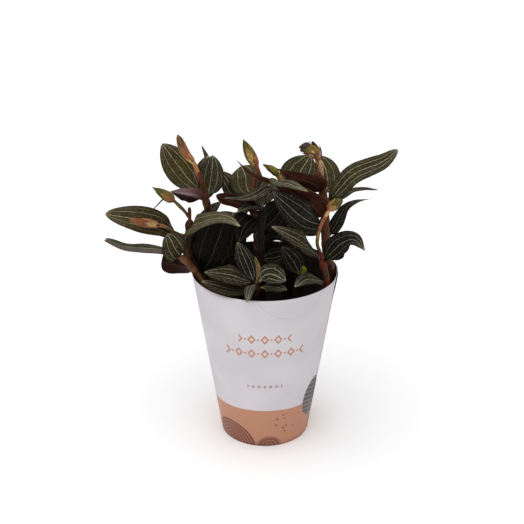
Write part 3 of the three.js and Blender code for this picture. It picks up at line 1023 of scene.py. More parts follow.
@dataclass(frozen=True)
class Leaf:
    """A leaf blade with its stalk, swept as one flattened tube round its midrib.

    It starts at a height on the stem and its midrib goes through the points of `rib` to its
    tip. `face` is the way its upper side looks, `fold` how steeply its halves rise, `taper`
    how long drawn its tip is, `heel` the same of its foot, and `petiole` its stalk's length.
    The blade opens within a share of its length. Its `groove` has a depth and a width, and its
    `keel` a depth at its foot, one at its tip and a width. `roundness` is low where the leaf is
    as round as a stalk and high where it is flat, and its skin closes at its foot and its tip.
    """

    at: float
    width: float
    face: Point
    rib: tuple[Point, ...]
    look: Foliage
    fold: float = 0.4
    taper: float = 0.75
    heel: float = 0.5
    petiole: float = 8.0
    stalk_most: float = 0.3
    stalk_half: float = 1.5
    stalk_blur: float = 0.3
    stalk_until: float = 0.5
    opening: float = 0.2
    crease: float = 0.012
    crease_sink: float = 0.11
    curl: float = 0.28
    wave: float = 0.07
    ripple_counts: tuple[float, float] = (2.2, 3.6)
    ripple_heights: tuple[float, float] = (0.25, 0.6)
    ripple_lag: float = 1.3
    tone_spread: tuple[float, float] = (0.85, 1.15)
    thickness: float = 0.55
    stalk_thickness: float = 2.2
    roundness: tuple[float, float] = (2, 5)
    groove: tuple[float, float] = (0.22, 0.7)
    keel: tuple[float, float, float] = (1.0, 0.25, 1.1)
    foot_closes: float = 0.02
    tip_closes: float = 0.004
    columns: int = 26
    rows: int = 44

    def half_width(self, share: float, stalk: float) -> float:
        """Finds how wide the leaf is at a share of its length.

        Args:
            share: From 0 at its foot to 1 at its tip.
            stalk: The share that its stalk takes.

        Returns:
            Half its width in millimetres.
        """
        a, b = self.heel, self.taper
        along = min(1.0, max(0.0, (share - stalk) / (1 - stalk)))
        widest = (a / (a + b)) ** a * (b / (a + b)) ** b
        blade = self.width / 2 * along**a * (1 - along) ** b / widest
        if share > self.stalk_until:
            return blade
        return (blade + self.stalk_half + math.sqrt((blade - self.stalk_half) ** 2 + self.stalk_blur)) / 2

    def add_to(self, skin: Skin, start: Vector, seed: int) -> None:
        """Sweeps the leaf into a mesh, its upper side in finish 0 and its underside in 1.

        Args:
            skin: The mesh in the making.
            start: Where it leaves the stem, in metres.
            seed: Settles what is particular to this leaf.
        """
        midrib = Route([start, *map(metres, self.rib)])
        stalk = min(self.stalk_most, self.petiole * MM / midrib.length)
        draw = random.Random(seed)
        phase = draw.uniform(0, TURN)
        ripples = draw.uniform(*self.ripple_counts)
        ripple_height = draw.uniform(*self.ripple_heights)
        colour, veins = self.look.value
        tone = tuple(part * draw.uniform(*self.tone_spread) for part in colour)

        def place(q: float, run: float, side: int) -> Spot:
            """Finds a spot of the leaf, whose rows lie closer near its foot and its tip.

            Args:
                q: Across the leaf, from -1 to 1.
                run: Row by row along it, from 0 to 1.
                side: 1 on its upper side and -1 under it.

            Returns:
                The spot.
            """
            share = (1 - math.cos(math.pi * run)) / 2
            half = self.half_width(share, stalk)
            across, up = midrib.strip(share, self.face)
            opened = ease(share, stalk, stalk + self.opening)
            curve = math.sqrt(q * q + self.crease) - self.crease_sink
            wave = self.wave * q * abs(q) * math.sin(3 * math.pi * share)
            lift = half * opened * (self.fold * curve - self.curl * q * q + wave)
            ripple = math.sin(TURN * ripples * share + phase + (self.ripple_lag if q < 0 else 0))
            lift += ripple_height * ripple * abs(q) ** 3 * opened * math.sin(math.pi * share)
            edge = math.sqrt(max(0.0, 1 - abs(q) ** blend(*self.roundness, opened)))
            thick = blend(self.stalk_thickness, self.thickness, opened) / 2 * edge
            if side > 0:
                depth, reach = self.groove
                line = depth * opened * hill(q * half, reach)
            else:
                at_foot, at_tip, reach = self.keel
                line = blend(at_foot, at_tip, share) * opened * hill(q * half, reach) * edge
            lift += side * thick - line
            closed = min(1.0, share / self.foot_closes) * min(1.0, (1 - share) / self.tip_closes)
            point = midrib.at(share) + across * (q * half * closed * MM) + up * (lift * closed * MM)
            return Spot(point, (q, share, half), tone, veins)

        skin.flap(place, self.columns, self.rows, (0, 1))


@dataclass(frozen=True)
class Scale:
    """A thin bract that wraps a rod: one of a bud's or the sheath at a leaf's foot.

    It starts at a share of the rod's length. Its middle is at a `turn` round the rod, its
    `spread` is the angle that it covers, and its `flare` is how far its tip stands off. It
    draws in to its tip by two powers and to its foot by a share. Its colour goes over between
    two runs, and the rod under it ends between two shares.
    """

    start: float
    length: float
    turn: float
    spread: float
    flare: float
    foot: Tint
    tip: Tint
    thickness: float = 0.35
    clearance: float = 0.28
    point: tuple[float, float] = (2.2, 0.8)
    foot_width: float = 0.75
    tone_turns: tuple[float, float] = (0.15, 0.95)
    rod_ends: tuple[float, float] = (0.97, 1.02)
    closes: float = 0.03
    around: int = 14
    along: int = 18

    def add_to(self, skin: Skin, rod: Route, radius: Callable[[float], float], finish: int) -> None:
        """Sweeps the scale into a mesh.

        Args:
            skin: The mesh in the making.
            rod: The rod's middle.
            radius: Gives the rod's radius in metres at a share of its length.
            finish: The material's number.
        """
        span = self.length * MM / rod.length

        def place(q: float, run: float, side: int) -> Spot:
            """Finds a spot of the scale, which may lie past the rod's end.

            Args:
                q: Round the rod, from -1 to 1.
                run: Along the scale, from 0 to 1.
                side: 1 on its outer side and -1 inside it.

            Returns:
                The spot.
            """
            share = self.start + run * span
            on_rod = min(share, 1.0)
            outline = (1 - run ** self.point[0]) ** self.point[1] * min(1.0, self.foot_width + run)
            out = rod.out(on_rod, self.turn + q * self.spread * outline / 2)
            closed = min(1.0, run / self.closes, (1 - run) / self.closes)
            edge = math.sqrt(max(0.0, 1 - q * q)) * closed
            off = self.flare * (run**2) + self.clearance + side * self.thickness / 2 * edge
            reach = radius(on_rod) * (1 - ease(share, *self.rod_ends)) + off * MM
            tone = blend_colour(self.foot.value, self.tip.value, ease(run, *self.tone_turns))
            return Spot(rod.at(share) + out * reach, (q, run, self.length), tone)

        skin.flap(place, self.around, self.along, (finish, finish))


@dataclass(frozen=True)
class Petal:
    """A cupped bract that stands free of the bud, from its foot to its tip."""

    width: float
    face: Point
    rib: tuple[Point, ...]
    foot: Tint
    tip: Tint
    thickness: float = 0.4
    cup: float = 0.5
    foot_width: float = 0.45
    widening: float = 2.0
    point: float = 0.6
    tone_turns: tuple[float, float] = (0.3, 1.0)
    foot_closes: float = 0.03
    tip_closes: float = 0.04
    columns: int = 7
    rows: int = 16

    def add_to(self, skin: Skin, finish: int) -> None:
        """Sweeps the petal into a mesh.

        Args:
            skin: The mesh in the making.
            finish: The material's number.
        """
        midrib = Route([*map(metres, self.rib)])

        def place(q: float, run: float, side: int) -> Spot:
            """Finds a spot of the petal.

            Args:
                q: Across the petal, from -1 to 1.
                run: Along it, from 0 to 1.
                side: 1 on its outer side and -1 inside it.

            Returns:
                The spot.
            """
            widest = min(1.0, self.foot_width + self.widening * run)
            half = self.width / 2 * widest * (1 - run**2) ** self.point
            across, up = midrib.strip(run, self.face)
            closed = min(1.0, (1 - run) / self.tip_closes, run / self.foot_closes)
            edge = math.sqrt(max(0.0, 1 - q * q)) * closed
            lift = -self.cup * half * q * q + side * self.thickness / 2 * edge
            tone = blend_colour(self.foot.value, self.tip.value, ease(run, *self.tone_turns))
            point = midrib.at(run) + across * (q * half * MM) + up * (lift * MM)
            return Spot(point, (q, run, half), tone)

        skin.flap(place, self.columns, self.rows, (finish, finish))


@dataclass(frozen=True)
class Spike:
    """A young flower stalk that ends in a bud of wrapped bracts, as one piece.

    It starts at its stem's top. The bud `opens` at a share of the length. `crown` moves its
    widest place from its foot (low) to its tip (high), and `blunt` rounds it off the more, the
    lower it is. `wraps` is the room that its bracts take, `core` what is left of it at its tip,
    and `socket` how deep the stalk's foot sits in the stem.
    """

    stalk: float
    bud: float
    opens: float
    route: tuple[Point, ...]
    low: Tint
    high: Tint
    heart: Tint
    scales: tuple[Scale, ...]
    petals: tuple[Petal, ...] = ()
    threads: tuple[tuple[Point, ...], ...] = ()
    crown: float = 0.7
    blunt: float = 1.0
    thread: float = 0.8
    thread_taper: float = 0.75
    thread_faces: tuple[int, int] = (8, 14)
    wraps: float = 0.55
    core: float = 0.12
    socket: float = 4.0
    sides: int = 16
    steps: int = 72

    def radius(self, share: float) -> float:
        """Finds the stalk's radius, and the core's inside the bracts.

        Args:
            share: The share of the length.

        Returns:
            The radius in metres.
        """
        if share < self.opens:
            return self.stalk * MM
        along = (share - self.opens) / (1 - self.opens)
        swell = math.sin(math.pi * along**self.crown) ** self.blunt
        bulge = max(0.0, self.bud - self.stalk - self.wraps) * swell
        return (self.stalk * (1 - along) + self.core + bulge) * MM

    def tone(self, share: float) -> Colour:
        """Returns the stalk's colour at a share of the length, or the colour of the bud's heart."""
        stalk = blend_colour(self.low.value, self.high.value, ease(share, 0, self.opens))
        return stalk if share < self.opens else self.heart.value

    def build(self, name: str, stem: Route, finishes: PlantFinishes) -> bpy.types.Object:
        """Builds the spike.

        Args:
            name: The name of its shoot.
            stem: The stem that it stands on.
            finishes: The plant's finishes.

        Returns:
            The piece that stands for the spike's node.
        """
        top = stem.at(1)
        route = Route([top - stem.way(1) * self.socket * MM, top, *map(metres, self.route)])
        skin = Skin()
        skin.rod(route, self.radius, self.tone, self.sides, self.steps)
        for scale in self.scales:
            scale.add_to(skin, route, self.radius, 1)
        for petal in self.petals:
            petal.add_to(skin, 1)
        for points in self.threads:
            skin.rod(
                Route([*map(metres, points)]),
                lambda share: self.thread * (1 - self.thread_taper * share) * MM,
                lambda share: SOOT.value, *self.thread_faces,
            )
        piece = dress("flower_" + name, skin.mesh, (finishes.stem, finishes.scales))
        return hand_over(piece, "spike_" + name)


@dataclass(frozen=True)
class Shoot:
    """A leafy stem with its nodes and leaf sheaths, as one piece, and the spike on its top.

    `root` and `top` are its radii and `route` the points that it grows through. Bare nodes go
    on below its lowest leaf, an `internode` apart. A node's `knuckle` has a swelling, and its
    `ring` a darkness, that lies a little below the node and reaches so far.
    """

    name: str
    root: float
    top: float
    route: tuple[Point, ...]
    leaves: tuple[Leaf, ...]
    low: Tint = SOOT
    high: Tint = UMBER
    spike: Spike | None = None
    husks: tuple[Petal, ...] = ()
    sides: int = 18
    steps: int = 96
    bare_nodes: int = 4
    internode: float = 21.0
    knuckle: tuple[float, float, float] = (0.14, 3, 2.2)
    ring: tuple[float, float, float] = (0.6, 4.5, 1.0)
    tone_turns: tuple[float, float] = (0.35, 0.95)
    sheath: float = 13.0
    sheath_lap: float = 1.5
    sheath_spread: float = 4.6
    sheath_flare: float = 0.5

    def build(self, finishes: PlantFinishes, number: int) -> bpy.types.Object:
        """Builds the shoot and its spike.

        Args:
            finishes: The plant's finishes.
            number: The shoot's number, from which its leaves are seeded.

        Returns:
            The piece that stands for the shoot's node.
        """
        skin = Skin()
        stem = Route([*map(metres, self.route)])
        knots = sorted(leaf.at for leaf in self.leaves)
        knots += [knots[0] - self.internode * i for i in range(1, self.bare_nodes + 1)]

        def at_nodes(share: float, amount: float, below: float, reach: float) -> float:
            """Returns an amount just below every node, fading out within its reach."""
            height = stem.at(share).z / MM
            return amount * max(hill(height - knot + below, reach) for knot in knots)

        def radius(share: float) -> float:
            """Returns the stem's radius, swollen at every node."""
            return blend(self.root, self.top, share) * (1 + at_nodes(share, *self.knuckle)) * MM

        def tone(share: float) -> Colour:
            """Returns the stem's colour, with a dark ring under every node."""
            base = blend_colour(self.low.value, self.high.value, ease(share, *self.tone_turns))
            return blend_colour(base, SOOT.value, at_nodes(share, *self.ring))

        skin.rod(stem, radius, tone, self.sides, self.steps, 2)
        for i, leaf in enumerate(self.leaves):
            share = stem.share_at_height(leaf.at * MM)
            start = stem.at(share)
            leaf.add_to(skin, start, number * SEEDS_PER_SHOOT + i)
            way = metres(leaf.rib[0]) - start
            side, up = stem.across(share)
            turn = math.atan2(way.dot(up), way.dot(side))
            foot = max(0.0, share - self.sheath * MM / stem.length)
            length = (share - foot) * stem.length / MM + self.sheath_lap
            wrap = Scale(foot, length, turn, self.sheath_spread, self.sheath_flare, self.low, self.high)
            wrap.add_to(skin, stem, radius, 2)
        for husk in self.husks:
            husk.add_to(skin, 2)
        piece = dress("leafy_" + self.name, skin.mesh, (finishes.face, finishes.back, finishes.stem))
        hand_over(piece, "shoot_" + self.name)
        if self.spike:
            self.spike.build(self.name, stem, finishes)
        return piece


# ------------------------------------------------------------------ sleeve, pot and mix


@dataclass(frozen=True)
class Sleeve:
    """The card sleeve: one strip rolled into a cone, with its start lapped over its end.

    The strip starts at the `seam` and its upper corner there is loose: it stands off by
    `lift`. Its end runs on under it by `lap` and steps in over `step_in` to make room.
    """

    height: float = 172.0
    top: float = 70.0
    bottom: float = 43.5
    card: float = 0.5
    seam: float = math.radians(78)
    lap: float = math.radians(14)
    step_in: float = math.radians(10)
    lap_gap: float = 0.06
    free: float = math.radians(9)
    lift: float = 0.8
    loose_from: float = 0.82
    loose_to: float = 0.96
    around: int = 240
    rows: int = 34

    def radius(self, height: float) -> float:
        """Returns the outer radius at a height, in millimetres."""
        return blend(self.bottom, self.top, height / self.height)

    def build(self) -> bpy.types.Object:
        """Builds the sleeve.

        Returns:
            The piece that stands for the sleeve's node.
        """
        mesh = bmesh.new()
        layer = mesh.verts.layers.float_vector.new("print")
        made = bmesh.ops.create_grid(mesh, x_segments=self.around, y_segments=self.rows, size=0.5)
        for vert in made["verts"]:
            swept = (vert.co.x + 0.5) * (TURN + self.lap)
            height = (vert.co.y + 0.5) * self.height
            tuck = ease(swept, TURN - self.step_in, TURN)
            loose = 1 - ease(swept, 0, self.free)
            loose *= ease(height, self.loose_from * self.height, self.loose_to * self.height)
            radius = self.radius(height) - (self.card + self.lap_gap) * tuck + self.lift * loose
            angle = self.seam + swept
            vert[layer] = (angle - TURN, height, self.radius(height))
            vert.co = metres((radius * math.sin(angle), -radius * math.cos(angle), height))
        faces = list(mesh.faces)
        bmesh.ops.recalc_face_normals(mesh, faces=faces)
        if sum(face.normal.dot(face.calc_center_median() * Vector((1, 1, 0))) for face in faces) < 0:
            bmesh.ops.reverse_faces(mesh, faces=faces)
        piece = dress("card_sleeve", mesh, (CardPrint().material(), CardInside().material()))
        wall = piece.modifiers.new("card", "SOLIDIFY")
        wall.thickness = self.card * MM
        wall.offset = -1
        wall.use_even_offset = True
        wall.material_offset = 1
        wall.material_offset_rim = 0
        return hand_over(piece, "sleeve")


@dataclass(frozen=True)
class GrowPot:
    """The thin nursery pot: a tapered wall, a stepped rim and drain holes in its foot."""

    height: float = 107.0
    rim_depth: float = 10.0
    base_radius: float = 40.0
    shoulder: float = 55.0
    wall: float = 1.1
    base: float = 2.0
    bevel: float = 0.6
    rim_bevel: float = 0.5
    lip: float = 0.2
    foot_ring: float = 4.0
    drain_radius: float = 4.0
    drain_circle: float = 31.0
    drain_depth: float = 8.0
    drain_sides: int = 24
    drains: int = 8
    clearance: float = 0.3
    sleeve_wall: float = 0.8
    around: int = 96

    def profile(self, sleeve: Sleeve) -> list[tuple[float, float]]:
        """Draws the wall's outline.

        Args:
            sleeve: The sleeve that the rim is wedged in.

        Returns:
            Radii and heights in millimetres, from the foot's middle round to its inside.
        """
        foot, shoulder, wall, bevel, edge = (
            self.base_radius, self.shoulder, self.wall, self.bevel, self.rim_bevel,
        )
        low, high = self.height - self.rim_depth, self.height

        def reach(height: float) -> float:
            """Returns the rim's radius at a height."""
            return sleeve.radius(height) - self.sleeve_wall - self.clearance

        return [
            (0, bevel), (foot - self.foot_ring - 1, bevel), (foot - self.foot_ring, 0),
            (foot - bevel, 0), (foot, bevel), (shoulder, low), (reach(low) - edge, low),
            (reach(low + edge), low + edge), (reach(high - bevel), high - bevel),
            (reach(high) - edge, high), (reach(high) - wall, high - self.lip),
            (reach(low) - wall, low + wall), (shoulder - wall, low + wall),
            (foot - wall, self.base), (0, self.base),
        ]

    def build(self, sleeve: Sleeve) -> bpy.types.Object:
        """Builds the pot.

        Args:
            sleeve: The sleeve that it stands in.

        Returns:
            The piece that stands for the pot's node.
        """
        mesh = bmesh.new()
        lathe(mesh, self.profile(sleeve), self.around)
        bmesh.ops.recalc_face_normals(mesh, faces=mesh.faces)
        piece = dress("nursery_pot", mesh, (PotPlastic().material(),), 35)
        self.drill(piece)
        return hand_over(piece, "grow_pot")

    def drill(self, piece: bpy.types.Object) -> None:
        """Cuts the drain holes and applies the cut.

        Args:
            piece: The pot.
        """
        mesh = bmesh.new()
        radius, reach = self.drain_radius * MM, self.drain_circle * MM
        for i in range(self.drains):
            made = bmesh.ops.create_cone(
                mesh, cap_ends=True, segments=self.drain_sides, radius1=radius, radius2=radius,
                depth=self.drain_depth * MM,
            )
            angle = TURN * (i + 0.5) / self.drains
            shift = Vector((reach * math.cos(angle), reach * math.sin(angle), 0))
            bmesh.ops.translate(mesh, verts=made["verts"], vec=shift)
        data = bpy.data.meshes.new("drains")
        mesh.to_mesh(data)
        mesh.free()
        cutter = add_object("drains", data)
        cut = piece.modifiers.new("drains", "BOOLEAN")
        cut.operation, cut.object, cut.solver = "DIFFERENCE", cutter, "EXACT"
        graph = bpy.context.evaluated_depsgraph_get()
        drilled = bpy.data.meshes.new_from_object(piece.evaluated_get(graph))
        piece.modifiers.remove(cut)
        piece.data = drilled
        bpy.data.objects.remove(cutter)
        bpy.data.meshes.remove(data)


@dataclass(frozen=True)
class PottingMix:
    """Bark chips and peat that fill the pot to just under its rim.

    Each of the `bumps` in its surface is a height and a width. A chip has a size and is so
    many times as long and as flat, and it lies at a tilt, bedded within a share of the radius.
    """

    height: float = 97.0
    foot: float = 2.3
    foot_radius: float = 38.2
    top_radius: float = 52.4
    bumps: tuple[tuple[float, float], ...] = ((1.6, 9), (0.9, 3))
    edge: float = 3.0
    chips: int = 330
    chip_sizes: tuple[float, float] = (1.2, 3.6)
    chip_lengths: tuple[float, float] = (0.9, 1.8)
    chip_flatness: tuple[float, float] = (0.3, 0.6)
    chip_shades: tuple[float, float] = (0.5, 1.6)
    chip_tilt: float = 0.5
    chip_dents: float = 0.35
    chip_rise: float = 0.3
    bedded: float = 0.95
    around: int = 72
    rings: int = 22
    seed: int = 7

    def build(self) -> bpy.types.Object:
        """Builds the mix.

        Returns:
            The piece that stands for the potting mix's node.
        """
        mesh = bmesh.new()
        tone = mesh.verts.layers.float_color.new("tone")
        finish = BarkMix()
        rows = [self.top_radius * (1 - i / self.rings) for i in range(self.rings + 1)]
        wall = [(0, self.foot), (self.foot_radius, self.foot), (self.top_radius, self.height - self.edge)]
        lathe(mesh, [*wall, *((radius, self.height) for radius in rows)], self.around)
        for vert in mesh.verts:
            vert[tone] = (*finish.bark, 1)
            if vert.co.z > (self.height - 1) * MM:
                for high, wide in self.bumps:
                    vert.co.z += high * MM * noise.noise(vert.co / (wide * MM))
        self.scatter(mesh, tone, finish.bark)
        bmesh.ops.recalc_face_normals(mesh, faces=mesh.faces)
        return hand_over(dress("bark_mix", mesh, (finish.material(),), 40), "potting_mix")

    def scatter(self, mesh: bmesh.types.BMesh, tone: bmesh.types.BMLayerItem, bark: Colour) -> None:
        """Beds loose chips in the top of the mix.

        Args:
            mesh: The mix's mesh.
            tone: Its colour layer.
            bark: The colour of the bark.
        """
        draw = random.Random(self.seed)
        for _ in range(self.chips):
            reach = self.top_radius * self.bedded * math.sqrt(draw.random())
            angle = draw.uniform(0, TURN)
            size = draw.uniform(*self.chip_sizes)
            made = bmesh.ops.create_icosphere(mesh, subdivisions=1, radius=1)["verts"]
            long, flat = draw.uniform(*self.chip_lengths), draw.uniform(*self.chip_flatness)
            stretch = Vector((size * long, size, size * flat))
            shade = draw.uniform(*self.chip_shades)
            tilt = self.chip_tilt
            turn = [draw.uniform(-tilt, tilt), draw.uniform(-tilt, tilt), draw.uniform(0, TURN)]
            place = Vector((reach * math.cos(angle), reach * math.sin(angle), self.height + self.chip_rise))
            for vert in made:
                rough = 1 + self.chip_dents * noise.noise(vert.co * 2 + place)
                vert.co = vert.co * stretch * rough
                vert[tone] = (*(part * shade for part in bark), 1)
            for axis, amount in zip(Matrix.Identity(3), turn):
                spin = Matrix.Rotation(amount, 3, axis)
                bmesh.ops.rotate(mesh, verts=made, cent=(0, 0, 0), matrix=spin)
            bmesh.ops.translate(mesh, verts=made, vec=place)
            bmesh.ops.scale(mesh, verts=made, vec=(MM, MM, MM))


# ------------------------------------------------------------------ studio


@dataclass(frozen=True)
class Studio:
    """The floor, the soft lights and the camera, in metres."""

    distance: float = 1.0145
    target: float = 0.1796
    elevation: float = math.radians(24.14)
    lens: float = 72.93
    sensor: float = 36
    shift: float = -0.0055
    floor_radius: float = 26
    floor_colour: Colour = (0.94, 0.94, 0.94)
    ambient: float = 0.34
    sun_way: Point = (0.14, 0.2, -0.95)
    sun_strength: float = 2.7
    sun_spread: float = math.radians(100)
    lamp_place: Point = (-1.3, -1.5, 1.0)
    lamp_target: Point = (0, 0, 0.18)
    lamp_size: float = 1.1
    lamp_power: float = 1.2

    def build(self) -> None:
        """Builds the studio round the object."""
        mesh = bmesh.new()
        bmesh.ops.create_circle(mesh, cap_ends=True, segments=64, radius=self.floor_radius)
        pale = Recipe("pale_floor", Roughness=0.9, Base_Color=self.floor_colour)
        dress("floor", mesh, (pale.material,))
        self.hang("overhead", "SUN", Vector(self.sun_way), energy=self.sun_strength, angle=self.sun_spread)
        way = Vector(self.lamp_target) - Vector(self.lamp_place)
        lamp = self.hang("front_left", "AREA", way, size=self.lamp_size, energy=self.lamp_power)
        lamp.location = self.lamp_place
        world = bpy.data.worlds.new("studio")
        bpy.context.scene.world = world
        world.use_nodes = True
        shade = world.node_tree.nodes["Background"]
        shade.inputs["Color"].default_value = (1, 1, 1, 1)
        shade.inputs["Strength"].default_value = self.ambient
        camera = bpy.data.cameras.new("camera")
        camera.lens, camera.sensor_width, camera.shift_x = self.lens, self.sensor, self.shift
        camera.clip_end = 4 * self.floor_radius
        view = add_object("camera", camera)
        back, up = math.cos(self.elevation), math.sin(self.elevation)
        view.location = (0, -self.distance * back, self.target + self.distance * up)
        view.rotation_euler = (math.pi / 2 - self.elevation, 0, 0)
        bpy.context.scene.camera = view
        bpy.context.scene.view_settings.view_transform = "Standard"

    @staticmethod
    def hang(name: str, kind: str, way: Vector, **settings: float) -> bpy.types.Object:
        """Hangs a lamp.

        Args:
            name: The lamp's name.
            kind: What sort of light it is.
            way: The way that it shines.
            settings: Its energy and how wide it is.

        Returns:
            The lamp, at the origin.
        """
        light = bpy.data.lights.new(name, kind)
        for key, setting in settings.items():
            setattr(light, key, setting)
        lamp = add_object(name, light)
        lamp.rotation_euler = way.to_track_quat("-Z", "Y").to_euler()
        return lamp


# ------------------------------------------------------------------ the plant's growth

TALL_LEFT = Shoot(
    "tall_left", 4.2, 2.7, ((-30, 22, 72), (-34, 22, 112), (-42, 17, 168), (-53, 6, 228), (-58, 1, 260)),
    (
        Leaf(249, 30, (0.1, -0.8, 0.5), ((-67, 8, 256), (-81, 16, 271), (-96, 24, 290)), BRONZE, heel=0.6),
        Leaf(234, 22, (-0.2, -0.8, 0.4), ((-56, 18, 250), (-57, 25, 262), (-54, 31, 276)), BRONZE),
        Leaf(240, 25, (0.1, -0.8, 0.4), ((-52, 13, 251), (-50, 19, 264), (-49, 26, 278)), GREEN),
        Leaf(242, 13, (0.9, -0.5, 0.2), ((-53, 24, 250), (-54, 34, 267), (-60, 40, 283)), DEEP),
        Leaf(
            241, 22, (0, 0.9, 0.4), ((-66, -4, 248), (-76, -8, 252), (-87, -12, 256)), MAUVE, taper=1.1,
            heel=0.4,
        ),
    ),
    UMBER, HAZEL,
    Spike(
        2, 5.2, 0.47, ((-62, 2, 270), (-66, 3, 279), (-73, 5, 287), (-80, 8, 304)), ROSE, TAN, CLAY,
        (
            Scale(0.04, 17, 0.4, 2.4, 0.8, WINE, BLUSH),
            Scale(0.02, 14, 2.0, 2.9, 0.5, WINE, WINE),
            Scale(0.46, 30, 4.9, 2.9, 0.1, OLIVE, MOSS),
            Scale(0.48, 27, 0.5, 2.4, 0.2, OLIVE, CLAY),
            Scale(0.47, 27, 2.9, 2.5, 0.2, TAN, CLAY),
            Scale(0.5, 17, 1.6, 1.5, 0.3, AMBER, ROSE),
            Scale(0.45, 9, 0.9, 1.5, 0.3, CREAM, TAN),
        ),
        crown=1.2, blunt=0.6,
    ),
)
LOW_LEFT = Shoot(
    "low_left", 4.4, 2.5,
    ((-30, -16, 72), (-37, -16, 112), (-51, -13, 146), (-63, -10, 169), (-73, -8, 183), (-82, -8, 190)),
    (
        # its underside is lightened with painted sheen
        Leaf(
            187, 9, (0.05, -0.05, 1),
            ((-98, -12, 194), (-114, -14, 196), (-131, -18, 200), (-139, -21, 205), (-148, -24, 212)), FROST,
            fold=1.8, taper=0.3, heel=0.3, petiole=3,
        ),
        Leaf(
            188, 26, (0.2, -0.85, 0.5), ((-84, -13, 199), (-87, -14, 207), (-91, -12, 213)), BRIGHT,
            taper=0.45, heel=0.24, petiole=3,
        ),
        Leaf(178, 30, (0, 0.9, 0.3), ((-82, 2, 176), (-99, 3, 180)), NIGHT, taper=0.35, heel=0.6, petiole=4),
    ),
    HAZEL, CLAY,
    husks=(Petal(8, (-0.3, -0.9, 0.2), ((-72, -8, 181), (-75.5, -6.5, 193), (-79.5, -6, 207)), UMBER, BARK),),
)
LEFT_SPRAY = Shoot(
    "left_spray", 3.8, 3.4,
    (
        (-24, 0, 72), (-32, 0, 112), (-56, 3, 153), (-66, 3, 175), (-72, 0, 192), (-71, -4, 209),
        (-70, -6, 226),
    ),
    (
        Leaf(
            214, 24, (-0.2, -0.5, 1),
            ((-67, -13, 222), (-57, -20, 229), (-45, -29, 236), (-33, -39, 239), (-22, -48, 236)), GREY,
            heel=0.15, petiole=0.5,
        ),
        Leaf(
            165, 53, (0.1, -0.8, 0.5), ((-53, -5, 182), (-44, -6, 205), (-36, -5, 231)), NIGHT, fold=0.25,
            taper=0.35, heel=0.45, petiole=4,
        ),
        Leaf(222, 3.5, (0, -1, 0), ((-70, -6, 230), (-70, -6, 238)), RUST, taper=0.3),
        Leaf(205, 13, (0, -0.6, 0.8), ((-56, 20, 219), (-49, 26, 225), (-42, 30, 230)), DEEP, petiole=14),
    ),
    SOOT, UMBER,
    Spike(
        1.5, 5.4, 0.54, ((-72, -6, 230), (-77, -6, 237), (-84, -6, 244), (-92, -6, 250), (-104, -6, 258)),
        WINE, MOSS, MOSS,
        (
            Scale(0.3, 9, 1.4, 2.6, 0.5, MOSS, OLIVE),
            Scale(0.52, 21, 4.9, 2.9, 0.1, AMBER, MOSS),
            Scale(0.53, 20, 3.0, 2.4, 0.15, OLIVE, MOSS),
            Scale(0.53, 20, 0.5, 2.4, 0.15, OLIVE, CLAY),
            Scale(0.55, 15, 1.7, 1.6, 0.2, AMBER, OLIVE),
        ),
        threads=(((-93, -9, 248), (-99, -10, 242), (-104, -11, 237), (-109, -12, 232)),), crown=0.62,
    ),
)
FAR_LEFT = Shoot(
    "far_left", 3.2, 2.5,
    (
        (-18, 10, 72), (-28, 11, 112), (-53, 14, 152), (-64, 14, 172), (-72, 15, 190), (-76, 14, 198),
        (-82, 12, 203),
    ),
    (
        Leaf(
            199, 28, (0.1, -0.7, 0.8),
            ((-90, 6, 209), (-97, 1, 217), (-108, -4, 223), (-120, -8, 227), (-147, -16, 235)), BRONZE,
            taper=0.65, heel=0.6, petiole=12,
        ),
    ),
    UMBER, BARK,
    Spike(
        1.7, 4.9, 0.5, ((-88, 8, 208), (-95, -2, 217), (-104, -13, 224), (-123, -31, 235)), MOSS, TAN, RUSSET,
        (
            Scale(0.05, 15, 1.0, 2.8, 0.3, MOSS, TAN),
            Scale(0.5, 27, 0.8, 2.7, 0.1, TAN, ROSE),
            Scale(0.52, 25, 5.0, 2.7, 0.1, ROSE, ROSE),
            Scale(0.54, 23, 3.3, 2.5, 0.2, TAN, ROSE),
            Scale(0.58, 15, 2.1, 1.6, 0.3, CREAM, BLUSH),
        ),
        crown=1.15, blunt=0.6,
    ),
)
CENTRE_BACK = Shoot(
    "centre_back", 4, 3,
    ((-4, 22, 72), (-6, 22, 112), (-8, 22, 160), (-8, 20, 200), (-12, 20, 236), (-10, 19, 250)),
    (
        Leaf(234, 32, (0, -0.9, 0.4), ((-17, 28, 245), (-19, 36, 255), (-23, 50, 259)), PALE),
        Leaf(228, 22, (0.2, -0.9, 0.3), ((-25, 34, 236), (-34, 40, 245), (-42, 46, 255)), GREEN),
        Leaf(222, 30, (0, 0.2, 1), ((-2, 40, 232), (6, 62, 238), (10, 86, 228)), GREEN),
    ),
    SOOT, BARK,
    Spike(
        2.1, 6.2, 0.47, ((-9, 18, 258), (-7, 16, 267), (-9, 15, 273), (-13, 14, 281), (-20, 12, 298)), BARK,
        RUSSET, MOSS,
        (
            Scale(0.06, 20, 3.0, 2.7, 0.3, BARK, RUSSET),
            Scale(0.44, 32, 4.9, 2.9, 0.1, MOSS, MOSS),
            Scale(0.46, 28, 0.7, 2.4, 0.15, OLIVE, MOSS),
            Scale(0.44, 29, 2.8, 2.5, 0.2, RUSSET, OLIVE),
            # cream scale: partly the bud's own cream, partly a painted highlight
            Scale(0.5, 23, 1.7, 1.8, 0.25, CREAM, OLIVE),
            Scale(0.43, 14, 2.3, 1.8, 0.4, ROSE, TAN),
        ),
        crown=0.85, blunt=0.8,
    ),
)
